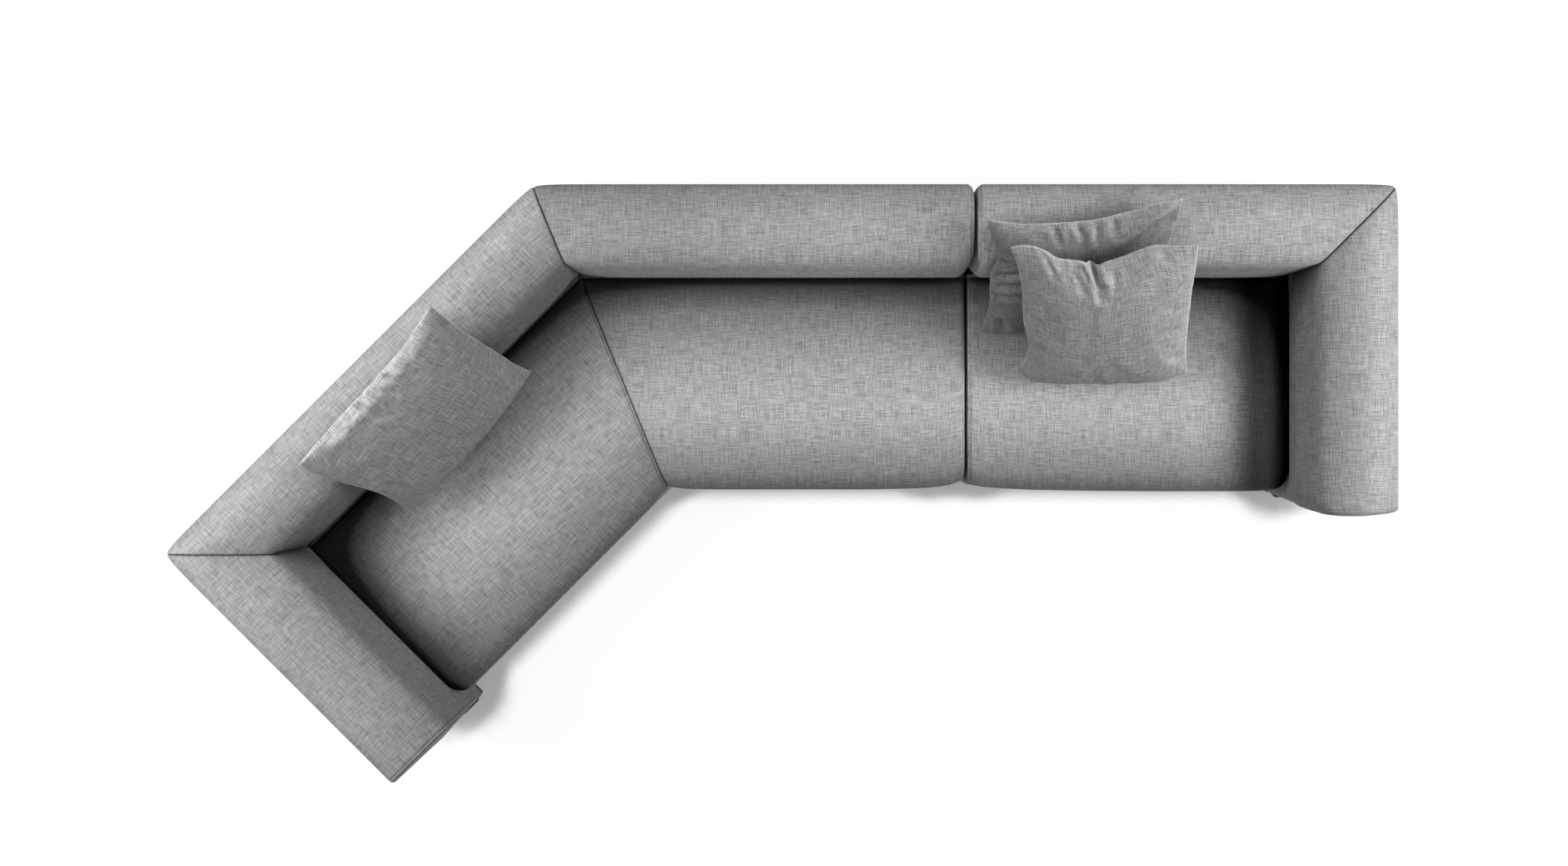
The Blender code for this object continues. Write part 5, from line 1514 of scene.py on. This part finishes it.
studio = {
    "cameraHeight": 4.7,
    "cameraPlace": (0.1110, 0.15280),
    "cameraShift": -0.021,  # the photograph's axis stands 42 px right of the middle of the picture
    "sensor": 36,
    "focal": 36 * 1639 / 2000,  # mm, from the scale of the plan in the 2000 px wide photograph
    "worldStrength": 0.48,
    "lamps": (("leftLamp", (-4.2, 0.2, 3.6), 116.0), ("rightLamp", (4.2, 0.2, 3.6), 130.0)),
    "lampSize": 2.0,
    "lampAim": (0, 0.1, 0.3),
    "floorSize": 14.0,
    "floorGlow": 0.85,
    "floorPale": "#808080",
    "shadowSamples": 32,
    "shadowReach": 0.15,  # how far the floor looks for what stands over it
    "shadowFrom": 0.87,
    "shadowTo": 0.985,
    "shadowDark": 0.30,
    "floorDim": "#8c8c8c",  # what the cloth sees of the floor, so that the undersides stay quiet
}


def seenDirectly(tree):
    # 1 for the camera's own view and for what shines or lets light through, 0 for the light on other surfaces
    ray = addNode(tree, "ShaderNodeLightPath").outputs
    seen = addNode(tree, "ShaderNodeMath", {"operation": "MAXIMUM"},
                   {0: ray["Is Camera Ray"], 1: ray["Is Glossy Ray"]})
    return addNode(tree, "ShaderNodeMath", {"operation": "MAXIMUM"},
                   {0: seen.outputs[0], 1: ray["Is Transmission Ray"]}).outputs[0]


def makeFloor():
    h = studio["floorSize"] / 2
    mesh = bpy.data.meshes.new("studioFloor")
    mesh.from_pydata([(-h, -h, 0), (h, -h, 0), (h, h, 0), (-h, h, 0)], [], [(0, 1, 2, 3)])
    floor = bpy.data.objects.new("studioFloor", mesh)
    bpy.context.scene.collection.objects.link(floor)
    made, tree, shader = newMaterial("paleStudioFloor", 0.9)
    shader["Specular IOR Level"].default_value = 0.0
    seen = seenDirectly(tree)
    # painted shadow: an occlusion node darkens the floor's glow where something stands over it
    near = addNode(tree, "ShaderNodeAmbientOcclusion",
                   {"samples": studio["shadowSamples"], "Distance": studio["shadowReach"]})
    openness = addNode(tree, "ShaderNodeMapRange", {"From Min": studio["shadowFrom"], "From Max": studio["shadowTo"],
                                                    "To Min": studio["shadowDark"]}, {"Value": near.outputs["AO"]})
    bright = addNode(tree, "ShaderNodeMath", {"operation": "MULTIPLY", 1: studio["floorGlow"]},
                     {0: openness.outputs[0]})
    strength = addNode(tree, "ShaderNodeMath", {"operation": "MULTIPLY"}, {0: seen, 1: bright.outputs[0]})
    glow = addNode(tree, "ShaderNodeEmission", links={"Strength": strength.outputs[0]})
    addNode(tree, "ShaderNodeMix", {"data_type": "RGBA", 6: toLinear(studio["floorDim"]),
                                    7: toLinear(studio["floorPale"])}, {0: seen}, {2: shader["Base Color"]})
    addNode(tree, "ShaderNodeAddShader", links={0: tree.nodes["Principled BSDF"].outputs[0], 1: glow.outputs[0]},
            feeds={0: tree.nodes["Material Output"].inputs["Surface"]})
    mesh.materials.append(made)


def makeWorld():
    world = bpy.data.worlds.new("softStudio")
    bpy.context.scene.world = world
    world.use_nodes = True
    tree = world.node_tree
    shade = tree.nodes["Background"].inputs
    shade["Color"].default_value = (1, 1, 1, 1)
    addNode(tree, "ShaderNodeMapRange", {"To Min": studio["worldStrength"], "To Max": 1.0},
            {"Value": seenDirectly(tree)}, {0: shade["Strength"]})


def makeLamp(name, place, watts):
    lamp = bpy.data.lights.new(name, "AREA")
    lamp.shape = "DISK"
    lamp.size = studio["lampSize"]
    lamp.energy = watts
    holder = bpy.data.objects.new(name, lamp)
    holder.location = place
    holder.rotation_euler = (Vector(studio["lampAim"]) - Vector(place)).to_track_quat("-Z", "Y").to_euler()
    bpy.context.scene.collection.objects.link(holder)


makeFloor()
makeWorld()
for name, place, watts in studio["lamps"]:
    makeLamp(name, place, watts)
camera = bpy.data.cameras.new("planCamera")
camera.lens = studio["focal"]
camera.sensor_width = studio["sensor"]
camera.sensor_fit = "HORIZONTAL"
camera.shift_x = studio["cameraShift"]
camera.dof.use_dof = False
viewer = bpy.data.objects.new("planCamera", camera)
viewer.location = (*studio["cameraPlace"], studio["cameraHeight"])
viewer.rotation_euler = (0, 0, 0)
bpy.context.scene.collection.objects.link(viewer)
bpy.context.scene.camera = viewer
bpy.context.scene.view_settings.view_transform = "Standard"
print("studio set")
